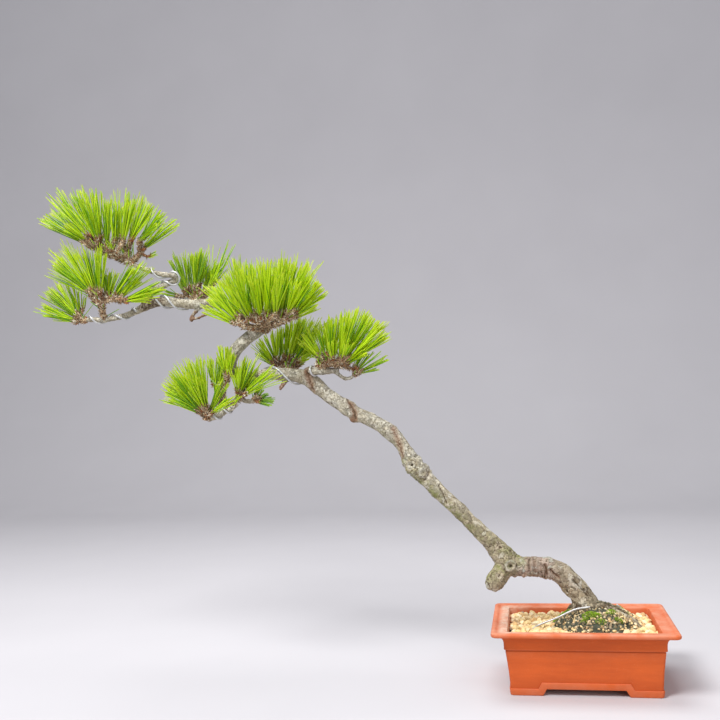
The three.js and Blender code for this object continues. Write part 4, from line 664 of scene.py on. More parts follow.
def needle_finish(colours):
    """Needles: pale at the sheath, fresh green above it and yellow-green at the tip.
    tint: red runs along the needle, green is the needle's own tone, blue is the shade of its pad."""
    f = Finish("pine_needles")
    needle, deep_green = colours.needle, colours.needle_deep
    along, own, shaded = f.tint()
    fresh = f.ramp(
        along, (0.0, (0.42, 0.34, 0.12)), (0.05, shade(needle, 0.8)),
        (0.2, needle), (0.75, colours.needle_light), (1.0, colours.needle_tip),
    )
    deep = f.ramp(
        along, (0.0, (0.28, 0.21, 0.09)), (0.08, shade(deep_green, 0.8)),
        (0.7, deep_green), (1.0, shade(needle, 0.75)),
    )
    tone = f.mix(f.range(own, 0.15, 0.95), fresh, deep)
    # painted shade: needles of the inner and lower pads darken towards the shaded needle colour
    tone = f.mix(f.times(shaded, 0.75), tone, colours.needle_shade)
    glow = {"Subsurface Weight": 0.42, "Subsurface Radius": (1.0, 1.4, 0.2), "Subsurface Scale": 0.0016}
    for key, value in glow.items():
        f.feed(f.shader.inputs[key], value)
    return f.done(tone, 0.45, specular=0.28)


def scale_finish(colours):
    """Bud scales and old shoots: red-brown to grey, with whitish dry edges.
    tint: red runs to the scale's dry edge, green is its own tone."""
    f = Finish("bud_scales")
    along, own, _ = f.tint()
    tone = f.ramp(
        own, (0.0, colours.scale), (0.2, (0.22, 0.095, 0.035)), (0.4, (0.42, 0.29, 0.165)),
        (0.58, (0.62, 0.47, 0.29)), (0.74, (0.11, 0.06, 0.03)), (0.86, (0.74, 0.65, 0.48)),
        (1.0, (0.88, 0.84, 0.74)),
    )
    tone = f.mix(f.range(along, 0.5, 1.0, 0.0, 0.6), tone, (0.76, 0.62, 0.42))
    tone = f.mix(f.range(f.noise(1.6, detail=4), 0.5, 0.38, 0.0, 0.9), tone, (0.055, 0.032, 0.02))
    return f.done(tone, 0.85, f.noise(0.9, detail=3), 0.3, specular=0.2)


def gravel_finish(colours):
    """Dry cream grit.
    tint: red is the grain's own tone, green is how dirty it is."""
    f = Finish("cream_grit")
    own, dirt, _ = f.tint()
    tone = f.ramp(
        own, (0.0, colours.gravel), (0.35, (0.80, 0.58, 0.28)), (0.6, (0.88, 0.76, 0.52)),
        (0.8, (0.70, 0.44, 0.19)), (0.92, (0.50, 0.35, 0.2)), (1.0, (0.3, 0.25, 0.2)),
    )
    tone = f.mix(f.range(f.noise(2.6, detail=5), 0.3, 0.5, 0.35, 0.0), tone, (0.52, 0.36, 0.18))
    tone = f.mix(dirt, tone, (0.055, 0.06, 0.042))
    return f.done(tone, 0.85, f.noise(0.9, detail=4), 0.3, specular=0.3)


def mound_finish(colours):
    """Damp dark mix, grey-green with old moss."""
    f = Finish("root_mound")
    broad = f.noise(9, detail=5)
    fine = f.noise(2.0, detail=5, rough=0.7)
    tone = f.ramp(broad, (0.3, (0.022, 0.026, 0.020)), (0.55, colours.mound), (0.75, (0.13, 0.135, 0.09)))
    tone = f.mix(f.range(fine, 0.55, 0.72, 0.0, 0.6), tone, (0.16, 0.17, 0.12))
    return f.done(tone, 0.95, fine, 1.0, specular=0.2)


def moss_finish(colours):
    """Small moss leaves, bright at their tips.
    tint: red runs along the leaf, green is its own tone."""
    f = Finish("moss")
    along, own, _ = f.tint()
    tone = f.ramp(along, (0.0, (0.02, 0.05, 0.008)), (0.5, shade(colours.moss, 0.6)), (1.0, colours.moss))
    tone = f.mix(f.times(own, 0.6), tone, (0.07, 0.14, 0.02))
    return f.done(tone, 0.7, specular=0.25)


def wire_finish(colours):
    """Soft-drawn aluminium, dulled unevenly."""
    f = Finish("aluminium_wire")
    tone = f.mix(f.range(f.noise(4, detail=4), 0.35, 0.65), colours.wire, shade(colours.wire, 0.72))
    rough = f.range(f.noise(1.5, detail=3), 0.3, 0.7, 0.38, 0.6)
    return f.done(tone, rough, f.noise(0.7), 0.05, metallic=0.6)


def screen_finish():
    """Moulded black plastic mesh."""
    f = Finish("screen_plastic")
    tone = f.mix(f.noise(2.0), (0.02, 0.022, 0.025), (0.04, 0.042, 0.046))
    return f.done(tone, f.range(f.noise(1.2), 0.3, 0.7, 0.45, 0.6), f.noise(0.8), 0.1)


def floor_finish():
    """A plain pale floor."""
    f = Finish("studio_floor")
    tone = f.mix(f.noise(260, detail=2), (0.52, 0.505, 0.525), (0.56, 0.545, 0.565))
    return f.done(tone, 0.9, specular=0.1)


# ---- settings


def colour_setting(name, description, value):
    return bpy.props.FloatVectorProperty(
        name=name, description=description, default=value, size=3, min=0.0, max=1.0, subtype="COLOR"
    )


class BonsaiColours(bpy.types.PropertyGroup):
    clay: colour_setting("Clay", "Body of the pot", (0.57, 0.105, 0.022))
    # The darker clay of the streaks, also painted shade in the pot's hollows and under its lip.
    clay_streak_and_shade: colour_setting("Deep clay", "Neck and shaded clay", (0.38, 0.060, 0.016))
    # The paler clay of the lip's top and the ledge, also painted highlight on the lip's outer edge and the
    # foot band's edges.
    clay_wear_and_highlight: colour_setting("Worn clay", "Worn lip and ledge", (0.62, 0.27, 0.17))
    bark: colour_setting("Bark", "Main bark tone", (0.385, 0.325, 0.222))
    bark_pale: colour_setting("Pale bark", "Whitish crust and flakes", (0.56, 0.53, 0.44))
    bark_dark: colour_setting("Dark bark", "Olive-brown hollows", (0.165, 0.13, 0.075))
    bark_bare: colour_setting("Bare bark", "Pinkish bark of the arch", (0.475, 0.37, 0.305))
    # Brown of old scars, also painted shade at the fork and on the arch's underside.
    scar_and_shade: colour_setting("Scar", "Old wire scars", (0.21, 0.085, 0.038))
    # Olive green film on the trunk, also painted shade along its lower side.
    lichen_and_shade: colour_setting("Lichen", "Green film on the trunk", (0.235, 0.245, 0.08))
    # Dark bottoms of the bark's cracks, also painted shade in them and at the trunk's foot and fork.
    fissure_and_shade: colour_setting("Fissure", "Bottom of the bark's cracks", (0.09, 0.06, 0.035))
    needle: colour_setting("Needle", "Middle of a needle", (0.42, 0.63, 0.004))
    needle_light: colour_setting("Light needle", "Upper part of a needle", (0.41, 0.59, 0.006))
    needle_tip: colour_setting("Needle tip", "Tip of a needle", (0.42, 0.52, 0.02))
    needle_deep: colour_setting("Deep needle", "Older needles", (0.085, 0.245, 0.002))
    needle_shade: colour_setting("Shaded needle", "Needles of the inner pads", (0.09, 0.26, 0.03))
    scale: colour_setting("Bud scale", "Bud scales and buds", (0.38, 0.14, 0.05))
    gravel: colour_setting("Gravel", "Top layer of grit", (0.82, 0.64, 0.33))
    mound: colour_setting("Root mound", "Dark mix at the trunk", (0.075, 0.08, 0.055))
    moss: colour_setting("Moss", "Tips of the moss", (0.32, 0.50, 0.015))
    wire: colour_setting("Wire", "Aluminium wire", (0.62, 0.62, 0.62))


class BonsaiSizes(bpy.types.PropertyGroup):
    needle_width: bpy.props.FloatProperty(
        name="Needle width", description="Width of a needle at its middle", default=0.00120, unit="LENGTH"
    )
    needles_per_shoot: bpy.props.IntProperty(
        name="Needles per shoot", description="Needles in a full bundle", default=31, min=4
    )
    wire_radius: bpy.props.FloatProperty(
        name="Wire radius", description="Radius of the training wire", default=0.0012, unit="LENGTH"
    )
    bark_cell: bpy.props.FloatProperty(
        name="Bark detail", description="Size of the faces of the trunk", default=0.0009, unit="LENGTH"
    )
    grain: bpy.props.FloatProperty(
        name="Grain size", description="Mean width of a gravel grain", default=0.0088, unit="LENGTH"
    )


class BonsaiSettings(bpy.types.PropertyGroup):
    colours: bpy.props.PointerProperty(
        type=BonsaiColours, name="Colours", description="Colours of the finishes"
    )
    sizes: bpy.props.PointerProperty(
        type=BonsaiSizes, name="Sizes", description="Sizes of the fine pieces"
    )


# ---- pot


def pot_ring(inset, height, marks_x, marks_y):
    """One turn round the pot, `inset` in from the rim: the corners' arcs, and marks on the straight sides.
    height is a number, or a function of how far a mark lies inside the cut-out between two feet."""
    corner_steps = 7
    radius = max(POT["corner"] - inset * 0.2, 3.0)
    half_x = POT["half_length"] - inset
    half_y = POT["half_depth"] - inset
    ring = []
    for turn, (sign_x, sign_y) in enumerate(((1, 1), (-1, 1), (-1, -1), (1, -1))):
        for i in range(corner_steps + 1):
            angle = (turn + i / corner_steps) * math.pi / 2
            x = sign_x * (half_x - radius) + radius * math.cos(angle)
            y = sign_y * (half_y - radius) + radius * math.sin(angle)
            ring.append((x, y, -99.0))
        long_side = turn % 2 == 0
        marks = marks_x if long_side else marks_y
        for mark in marks[::-1] if turn < 2 else marks:
            place = (mark, sign_y * half_y) if long_side else (sign_x * half_x, mark)
            ring.append((*place, POT["foot_x" if long_side else "foot_y"] - abs(mark)))
    return [(x, y, height(inside) if callable(height) else height) for x, y, inside in ring]


def between_feet(inside, low, high):
    """`low` over the feet and `high` in the cut-out, with a sloped run from one to the other."""
    share = min(max((inside + POT["foot_slope"]) / POT["foot_slope"], 0.0), 1.0)
    return low + (high - low) * share


def sole(shift=0.0):
    """Height of the feet's underside, raised by `shift`."""
    return lambda inside: between_feet(inside + shift, 0.0, POT["floor_low"]) + shift


def foot_band(extra):
    """Height of the band that runs over the feet and arches over the cut-outs."""
    return lambda inside: between_feet(inside + 5, 7.7, 14.5) + extra


def pot_levels():
    """The pot's rings as (inset, height, shade, wear): the outside from the foot's inner edge up to the lip,
    the ledge inside it, and the cavity down to the floor."""
    top, step = POT["height"], POT["step_z"]
    outside = [
        (30.6, POT["floor_low"], 0.9, 0.0), (30.4, sole(), 0.7, 0.0), (19.6, sole(), 0.2, 0.1),
        (18.9, sole(0.4), 0.0, 0.35), (18.6, sole(1.1), 0.0, 0.3),
        (17.9, foot_band(-1.0), 0.0, 0.25), (18.0, foot_band(-0.35), 0.0, 0.35),
        (18.5, foot_band(0.0), 0.15, 0.2), (19.1, foot_band(0.1), 0.75, 0.0),
        (18.9, foot_band(0.9), 0.35, 0.0), (17.8, 24.0, 0.0, 0.0), (16.2, 38.0, 0.0, 0.0),
        (14.9, step - 1.6, 0.0, 0.1), (15.3, step - 0.9, 0.5, 0.0), (15.5, step - 0.2, 1.0, 0.0),
        (14.2, step + 0.2, 1.0, 0.0), (13.5, step + 0.6, 0.3, 0.15), (13.3, step + 1.3, 0.1, 0.1),
        (13.5, step + 2.6, 0.1, 0.0), (13.3, top - 13.4, 0.1, 0.0), (12.5, top - 10.2, 0.12, 0.0),
        (10.9, top - 8.0, 0.15, 0.0), (8.2, top - 6.4, 0.25, 0.0), (5.2, top - 5.5, 0.35, 0.0),
        (2.4, top - 5.1, 0.4, 0.0), (0.9, top - 4.8, 0.1, 0.2), (0.2, top - 4.0, 0.0, 0.45),
        (0.0, top - 2.4, 0.0, 0.5), (0.3, top - 1.0, 0.0, 0.8), (1.2, top - 0.2, 0.0, 1.0),
        (2.6, top, 0.0, 1.0), (4.6, top - 0.15, 0.0, 0.9), (5.6, top - 0.9, 0.05, 0.7),
        (6.5, top - 1.4, 0.1, 0.75),
    ]
    ledge = [
        (11.0, top - 1.6, 0.0, 1.0), (16.4, top - 1.6, 0.0, 0.9), (17.4, top - 2.1, 0.0, 0.8),
        (17.8, top - 3.4, 0.1, 0.4),
    ]
    cavity = [
        (19.2, 60.0, 0.4, 0.0), (21.5, step, 0.7, 0.0), (27.0, POT["floor_top"] + 1.5, 0.9, 0.0),
        (28.5, POT["floor_top"], 0.9, 0.0),
    ]
    return outside, ledge, cavity


def side_marks(middle, foot):
    """The places along a side that its rings need: by its middle, and where the feet slope to the cut-out."""
    slope = POT["foot_slope"]
    marks = [0, middle] + [foot + shift for shift in (-1, 0, slope, slope + 1, slope + 5, slope + 6)]
    return sorted({side * mark for side in (-1, 1) for mark in marks})


def drill_drains(piece):
    """Cuts the two drain holes through the floor of the pot."""
    mesh = bpy.data.meshes.new("drill")
    shaper = bmesh.new()
    radius = POT["drain_radius"] * MM
    for x in (-POT["drain_x"], POT["drain_x"]):
        middle = np.array([x, 0, (POT["floor_low"] + POT["floor_top"]) / 2])
        spot = Matrix.Translation(Vector(middle * MM + ORIGIN))
        bmesh.ops.create_cone(
            shaper, cap_ends=True, segments=40, radius1=radius, radius2=radius, depth=0.03, matrix=spot
        )
    shaper.to_mesh(mesh)
    shaper.free()
    tool = bpy.data.objects.new("drill", mesh)
    bpy.context.scene.collection.objects.link(tool)
    cut = piece.modifiers.new("drains", "BOOLEAN")
    cut.operation = "DIFFERENCE"
    cut.solver = "EXACT"
    cut.object = tool
    apply_modifiers(piece)
    bpy.data.objects.remove(tool)


def make_pot(context):
    """The clay pot as one closed stack of rings, with its drain holes."""
    marks_x, marks_y = side_marks(20, POT["foot_x"]), side_marks(12, POT["foot_y"])
    outside, ledge, cavity = pot_levels()
    levels = outside + ledge + cavity
    points = []
    tints = []
    for level in levels:
        inset, height, shaded, wear_and_highlight = level
        ring = pot_ring(inset, height, marks_x, marks_y)
        points.extend(ring)
        for x, _, _ in ring:
            crust = min(max((-x - 60) / 22, 0.0), 1.0) if level in ledge else 0.0
            tints.append((shaded * (1 - crust), wear_and_highlight, crust, 1.0))
    finish = clay_finish(context.scene.bonsai.colours)
    made = make_object("pot_dressed", points, rings_to_faces(len(levels), len(ring)), [finish], tints=tints)
    drill_drains(made)
    smooth_all(made.data)
    made.data.set_sharp_from_angle(angle=math.radians(38))
    stand_for(made, "clay", "pot")


# ---- soil, gravel and moss


def make_soil(context):
    """The mix in the pot and the dark root mound, as one closed dome over a block."""
    sides = 132
    rings = []
    angles = np.linspace(0, 2 * math.pi, sides, endpoint=False)
    for share in np.linspace(0.03, 1.1, 44):
        x = MOUND["x"] + MOUND["half_length"] * share * np.cos(angles) * (1 + 0.03 * np.sin(3 * angles + 1))
        y = MOUND["y"] + MOUND["half_depth"] * share * np.sin(angles) * (1 + 0.03 * np.sin(5 * angles))
        rings.append(np.stack([x, y, mound_height(x, y)[0]], axis=1))
    dome = np.concatenate(rings)
    lumps = noise_at(dome, 9, 3.1) * 2.0 + noise_at(dome, 3.4, 9.7) * 1.3 + noise_at(dome, 1.6, 5.2) * 0.6
    dome[:, 2] += lumps * clamp((dome[:, 2] - 56) / 10)
    # the block under the dome: heights, and the gap to the pot's wall
    block = []
    for z, inset in ((60.2, 0.5), (57.8, 0.6), (14.4, 0.6)):
        half_x = POT["half_length"] - cavity_inset(z) - inset
        half_y = POT["half_depth"] - cavity_inset(z) - inset
        fit = 1 / np.maximum(np.abs(np.cos(angles)) / half_x, np.abs(np.sin(angles)) / half_y)
        corner = clamp(fit, 0, np.hypot(half_x, half_y) - 2.6)
        block.append(np.stack([corner * np.cos(angles), corner * np.sin(angles), np.full(sides, z)], axis=1))
    faces = [face[::-1] for face in rings_to_faces(len(rings) + len(block), sides)]
    finish = mound_finish(context.scene.bonsai.colours)
    stand_for(make_object("planting_mix", np.concatenate([dome, *block]), faces, [finish]), "soil", "soil")


def grain_shape(random):
    """A rounded, chipped pebble of unit size."""
    shaper = bmesh.new()
    bmesh.ops.create_icosphere(shaper, subdivisions=2, radius=1.0)
    points = np.array([v.co[:] for v in shaper.verts])
    faces = [[v.index for v in face.verts] for face in shaper.faces]
    shaper.free()
    cuts = unit(random.normal(size=(9, 3)))
    depth = random.uniform(0.62, 0.9, size=9)
    for normal, reach in zip(cuts, depth):
        over = np.clip(points @ normal - reach, 0, None)
        points = points - np.outer(over, normal) * 0.92
    return points, faces


def make_gravel(context):
    """Two layers of grit round the mound, and loose grains, dark clods and root debris on it."""
    random = np.random.default_rng(23)
    draw = random.uniform
    kinds = [grain_shape(random) for _ in range(12)]
    shape = Shape()
    width = context.scene.bonsai.sizes.grain / MM
    spacing = width * 0.80

    def lay(x, y, z, size, tone, dirt):
        points, faces = kinds[int(random.integers(len(kinds)))]
        turn = Matrix.Rotation(draw(0, 6.28), 3, Vector(unit(random.normal(size=3))))
        spans = [draw(0.85, 1.25), draw(0.8, 1.1), draw(0.6, 0.85)]
        grain = (points * (size * 0.5 * np.array(spans))) @ np.array(turn).T + [x, y, z]
        shape.add(grain, faces, 0, (tone, dirt, 0.0, 1.0))

    half_x = POT["half_length"] - cavity_inset(GRAVEL_TOP) - 2.0
    half_y = POT["half_depth"] - cavity_inset(GRAVEL_TOP) - 2.0
    # each layer's height, and the chance that a place in it holds a grain
    for layer, (height, chance) in enumerate(((59.6, 1.0), (62.6, 0.62))):
        for row in range(-40, 41):
            for column in range(-40, 41):
                x = (column + 0.5 * (row % 2)) * spacing + draw(-1.3, 1.3)
                y = row * spacing * 0.87 + draw(-1.3, 1.3)
                pick = draw()
                if abs(x) > half_x - layer or abs(y) > half_y - layer or pick > chance:
                    continue
                ragged = 1.0 + 0.05 * math.sin(5 * math.atan2(y, x)) - (0.10 if y < -20 else 0.0)
                if mound_height(x, y)[1] < ragged:
                    continue
                tone = draw(0, 0.78) if draw() < 0.9 else draw(0.78, 1.0)
                dirt = 0.0 if draw() < 0.98 else draw(0.2, 0.6)
                z = height + draw(-0.8, 0.8)
                lay(x, y, z, width * draw(0.75, 1.25), tone, dirt)
    # loose grains lie on the mound, most of them small and half sunk
    for _ in range(330):
        angle = draw(-2.7, 0.9)
        share = draw(0.3, 1.05) ** 0.7
        x, y, z = mound_spot(angle, share)
        bare = 0.75 if x > 24 or share > 0.98 else 0.4
        dirt = 0.0 if draw() < bare else draw(0.2, 0.7)
        size = width * draw(0.24, 0.62 if x > 24 else 0.46)
        lay(x, y, z + 0.2, size, draw(0, 1), dirt)
    # dark clods
    for _ in range(1100):
        x, y, z = mound_spot(draw(0, 6.28), draw(0.2, 1.06))
        size = width * draw(0.18, 0.46)
        lay(x, y, z + 0.4, size, draw(0.2, 1.0), draw(0.2, 0.95))
    # and along the root that runs off to the right
    steps = Limb(ROOTS[0]).samples(40)
    for turn in draw(-2.6, 2.6, size=240):
        _, point, _, across, radius = steps[int(random.integers(26))]
        out = across * math.sin(turn) + np.array([0, 0, 1]) * math.cos(turn)
        x, y, z = point + unit(out) * (radius + 0.3)
        lay(x, y, z, width * draw(0.2, 0.5), draw(0.6, 1.0), draw(0.7, 1.0))
    made = shape.piece("gravel_grains", [gravel_finish(context.scene.bonsai.colours)])
    made.data.set_sharp_from_angle(angle=math.radians(34))
    stand_for(made, "gravel", "gravel")


# Moss cushions on the mound: x, y and radius.
MOSS_SPOTS = [
    (9, -26, 8), (16, -28, 5), (34, -18, 5), (20, -37, 5), (-22, 8, 8), (-16, 2, 6), (-30, 12, 5),
    (2, -33, 3), (44, 12, 5), (24, 24, 6), (-6, 34, 6), (40, -30, 4), (30, -24, 3.5), (50, -8, 3),
    (-14, 24, 5),
]
# A moss leaf is a closed diamond: its foot, four corners at its middle, and its tip.
MOSS_FACES = [[0, 2, 1], [0, 3, 2], [0, 4, 3], [0, 1, 4], [5, 1, 2], [5, 2, 3], [5, 3, 4], [5, 4, 1]]


def make_moss(context):
    """Cushions of small upright leaves."""
    random = np.random.default_rng(31)
    draw, normal = random.uniform, random.normal
    shape = Shape()
    for spot_x, spot_y, radius in MOSS_SPOTS:
        for _ in range(int(radius * radius * 7)):
            angle = draw(0, 6.28)
            reach = radius * math.sqrt(draw())
            x, y = spot_x + reach * math.cos(angle), spot_y + reach * math.sin(angle) * 0.8
            z = float(mound_height(x, y)[0]) + 1.6 * (1 - (reach / radius) ** 2) - 0.2
            lean = np.array([math.cos(angle), math.sin(angle), 0]) * 0.9 * reach / radius
            grow = unit(np.array([normal() * 0.35, normal() * 0.35, 1.0]) + lean)
            side = unit(np.cross(grow, normal(size=3)))
            other = np.cross(grow, side)
            length = draw(1.3, 2.9)
            wide = draw(0.28, 0.5)
            root = np.array([x, y, z])
            middle = root + grow * length * 0.55
            spokes = (side * wide, other * wide * 0.5, -side * wide, -other * wide * 0.5)
            points = [root, *(middle + spoke for spoke in spokes), root + grow * length]
            own = draw()
            tints = [(along, own, 0, 1) for along in (0, 0.55, 0.55, 0.55, 0.55, 1)]
            shape.add(points, MOSS_FACES, 0, tints)
    stand_for(shape.piece("moss", [moss_finish(context.scene.bonsai.colours)]), "needles")


# ---- trunk

# The bark parts into plates of this size in millimetres, and this share of it is the slope into the cracks.
PLATE_SIZE = 4.6
CRACK_SHARE = 0.20
# Old scars on the trunk: a line of places, width, depth, how far the edges stand up, and how brown it is.
SCAR_LINES = [
    ([(-261, -1, 330), (-257.5, -5, 323), (-254.4, -7, 316), (-254, -6, 306)], 1.9, 2.2, 1.2, 1.0),
    ([(-208, -9, 295), (-202.6, -12.3, 282), (-199, -14, 271), (-198, -14, 262)], 1.8, 1.0, 0.7, 0.8),
    ([(-167, -16, 242), (-172, -18, 234)], 2.2, 1.8, 0.6, 0.2),
    ([(-154, -17, 227), (-150.4, -18.4, 217), (-148, -18.6, 207)], 1.2, 1.8, 0.7, 0.0),
    ([(-314, -4, 371), (-310, -2, 359), (-307, 0, 344)], 2.2, 1.9, 0.9, 1.0),
    ([(-6, -13, 117), (2, -12, 107), (10, -11.5, 97)], 1.1, 1.6, 0.9, 0.0),
    ([(-522.3, -3.3, 461.7), (-521.9, -1.8, 452.3)], 0.9, 1.3, 0.4, 0.2),
    ([(-517.6, -3.4, 463.5), (-518, -1.5, 454)], 1.0, 1.5, 0.4, 0.2),
    ([(-513, -3.3, 464), (-513, -2.5, 455)], 1.0, 1.5, 0.4, 0.2),
    ([(-508.5, -2.8, 464), (-508.8, -2.2, 456)], 0.9, 1.4, 0.4, 0.2),
    ([(-504, -2.1, 464), (-504.5, -1.8, 457)], 0.8, 1.2, 0.4, 0.2),
    ([(-56, -11.6, 141.5), (-55.8, -17.4, 134.5), (-55.8, -17.1, 126.5)], 0.9, 1.6, 0.4, 0.3),
    ([(-50.2, -11, 141.9), (-49.5, -17.5, 134.5), (-49.2, -16.6, 125.3)], 1.0, 1.3, 0.5, 0.4),
    ([(-42.4, -11.4, 141.4), (-42, -17.4, 133.3), (-42, -16.4, 125.2)], 0.6, 0.9, 0.3, 0.2),
    ([(-37.6, -16.7, 134.3), (-36.5, -17.3, 128.8), (-36, -15.2, 122.7)], 0.9, 1.6, 0.6, 0.8),
    ([(-31.3, -16.8, 128.7), (-28.2, -16.1, 124), (-23.8, -15.5, 120.5)], 1.0, 1.6, 0.6, 0.8),
    ([(-120, -18, 184), (-116, -18.5, 176), (-116, -18, 168)], 1.0, 1.4, 0.5, 0.0),
]
# Round scars and holes: centre, ring radius, ring height, hole radius, hole depth.
SCAR_ROUNDS = [
    ((-76.8, -23, 134.6), 4.9, 2.6, 2.7, 3.2),
    ((-186.4, -17.4, 251.1), 3.4, 1.0, 2.0, 2.8),
    ((-173.1, -18.3, 242), 4.4, 1.6, 1.8, 1.0),
]
# Lumps on the trunk: centre, reach and height.
LUMPS = [
    ((-257, -3, 307), 5.2, 3.2),
    ((-192, -10, 247), 9.0, 2.6),
    ((-180, -17, 246), 9.0, 1.8),
    ((-166, -12, 247), 6.0, 1.4),
    ((-71, -12, 121), 3.4, 2.0),
    ((-62, -12, 121), 3.0, 1.4),
    ((-35, -11, 119), 4.0, 1.8),
    ((-24, -10, 115), 3.4, 1.4),
    ((-3, -10, 92), 4.0, 1.6),
]

# Dead twigs, brown all over: centre and reach.
DEADWOOD = np.array([
    (-346, 5, 349, 7), (-341, 6, 356, 4), (-461, 8, 438, 8), (-448, 6, 441, 7), (-456, 9, 446, 5),
])


def wood_limbs():
    limbs = {"trunk": Limb(TRUNK), **{name: Limb(stations) for name, stations in LIMBS.items()}}
    limbs.update({f"root_{i}": Limb(stations) for i, stations in enumerate(ROOTS)})
    return limbs


def join_wood(finish, cell):
    """One skin over all the limbs, and the samples of their middle lines that the bark follows."""
    shape = Shape()
    middles = []
    for place, (name, limb) in enumerate(wood_limbs().items()):
        count = max(6, int(limb.length / 2.5))
        samples = limb.samples(count)
        points, faces = tube(samples, 20 if name == "trunk" else 14)
        shape.add(points, faces, 0, (0, 0, 0, 1))
        run = 60.0 * place
        for _, point, along, across, radius in samples:
            # the bark's plates run along the upper trunk and across the arch near the pot
            arch = math.exp(-(((point[0] + 50) / 28) ** 2)) * (point[2] > 90) * (name == "trunk")
            stretch = 0.55 + 0.65 * arch
            middles.append((point, along, across, radius, run, stretch, arch))
            run += stretch * limb.length / count
    made = shape.piece("trunk_wood", [finish])
    join = made.modifiers.new("join", "REMESH")
    join.mode = "VOXEL"
    join.voxel_size = cell
    ease = made.modifiers.new("ease", "SMOOTH")
    ease.factor = 0.5
    ease.iterations = 6
    apply_modifiers(made)
    return made, middles


class Bark:
    """The points of the wood's skin, and what the bark does at each: its height in millimetres, and from 0
    to 1 how deep in a crack it lies, how brown with scars, and how pale with crust it is."""

    def __init__(self, mesh, middles):
        size = 3 * len(mesh.vertices)
        places = np.empty(size)
        mesh.vertices.foreach_get("co", places)
        self.places = (places.reshape(-1, 3) - ORIGIN) / MM
        normals = np.empty(size, dtype=np.float32)
        mesh.vertex_normals.foreach_get("vector", normals)
        self.normals = normals.reshape(-1, 3).astype(float)
        tree = KDTree(len(middles))
        for i, middle in enumerate(middles):
            tree.insert(Vector(middle[0]), i)
        tree.balance()
        nearest = [tree.find(Vector(p))[1] for p in self.places]
        point, along, across, self.radius, run, stretch, self.arch = (
            np.array([middle[field] for middle in middles])[nearest] for field in range(7)
        )
        offset = self.places - point
        ahead = np.einsum("ij,ij->i", offset, along)
        out = unit(offset - along * ahead[:, None])
        girth = np.maximum(self.radius, 4.0) * (1 - 0.62 * self.arch)
        # the bark's own coordinates: round the limb, and along it
        self.grain = np.stack([
            np.einsum("ij,ij->i", out, across) * girth,
            np.einsum("ij,ij->i", out, np.cross(along, across)) * girth,
            run + ahead * stretch,
        ], axis=1)
        self.coarse = noise_at(self.places, 14, 1.1)
        self.middle = noise_at(self.grain, 3.6, 2.2)
        self.fine = noise_at(self.places, 2.0, 4.4)

    def away(self, centre):
        """Every point's distance from a place."""
        return np.linalg.norm(self.places - np.array(centre, dtype=float), axis=1)

    def stir(self, size, *seeds):
        return np.stack([noise_at(self.grain, size, seed) for seed in seeds], axis=1)

    def lay_plates(self):
        """Plates parted by cracks, rougher low on the trunk and at its arch, with knuckles on thin wood."""
        moved = self.grain + self.stir(7, 3.3, 8.8, 15.1) * 3.4 + self.stir(2.6, 5.9, 13.4, 21.7) * 1.1
        gaps = np.array([noise.voronoi(Vector(p))[0][:2] for p in moved / PLATE_SIZE])
        edge = clamp((gaps[:, 1] - gaps[:, 0]) / CRACK_SHARE)
        stout = clamp(self.radius / 9, 0.3, 1.15)
        patch = clamp(0.4 + 1.9 * noise_at(self.places, 13, 27.5), 0.03)
        plates = 1 - (1 - edge * edge * (3 - 2 * edge)) * patch
        rough = np.maximum(clamp((300 - self.places[:, 2]) / 200, 0.3) * stout, self.arch * 1.2)
        knob = hump(self.away((-181, -8, 248)), 19, 4)
        coarse, middle, fine = self.coarse, self.middle, self.fine
        self.height = coarse * 1.3 * stout + (plates - 1) * 1.0 * rough - 0.3 * stout
        self.height += middle * (0.45 + 0.35 * rough) * stout + fine * (0.14 + 0.16 * stout)
        self.height += knob * (1.5 * middle + 0.9 * fine)
        knuckle = clamp(noise_at(self.places, 3.6, 12.4)) * clamp(1.25 - self.radius / 6)
        self.height += knuckle * 1.6
        self.depth = (1 - plates) * 0.8 * clamp(rough, 0.3) + clamp(-middle - 0.05) * (0.6 - 0.25 * knob)
        self.depth += clamp(-fine - 0.05) * 0.7
        # the arch's underside turns browner: partly its own brown-red flakes, partly painted shade
        self.scar_and_shade = self.arch * clamp(-self.normals[:, 2] - 0.25) * clamp(0.4 + middle * 2.5)
        self.pale = clamp((self.places[:, 2] - 170) / 80) * clamp(0.8 + 0.6 * coarse)

    def raise_lumps(self):
        for centre, reach, rise in LUMPS:
            near = hump(self.away(centre), reach)
            self.height += rise * near * (1 + 0.5 * self.middle)
            if centre[0] < -250:
                self.scar_and_shade = np.maximum(self.scar_and_shade, near)

    def cut_lines(self):
        for line, width, deep, lip, brown in SCAR_LINES:
            line = np.array(line, dtype=float)
            dense = np.concatenate([np.linspace(a, b, 8) for a, b in zip(line, line[1:])])
            gap = np.min(np.linalg.norm(self.places[:, None, :] - dense[None, :, :], axis=2), axis=1)
            # the lines' places lie up to 0.7 mm off the skin
            gap = np.maximum(gap - 0.7, 0)
            self.height += -deep * hump(gap, width) + lip * hump(gap - 2.3 * width, width)
            # the grooves darken: the scars' own darker wood, deepened as painted shade in the recess
            self.depth = np.maximum(self.depth, hump(gap, width * 0.6) * min(0.55 * deep, 0.9))
            self.scar_and_shade = np.maximum(self.scar_and_shade, brown * hump(gap, width * 1.7))

    def cut_rounds(self):
        """Ringed scars and holes. glow is where a ring is too worn for the green film."""
        self.glow = np.zeros(len(self.places))
        for centre, ring, rise, hole, deep in SCAR_ROUNDS:
            gap = self.away(centre)
            lip, inside = hump(gap - ring, 1.7), hump(gap, hole, 4)
            outside = hump(gap - ring * 1.75, 1.5)
            self.height *= 1 - 0.6 * hump(gap, ring * 1.3, 4)
            self.height += rise * lip - deep * inside
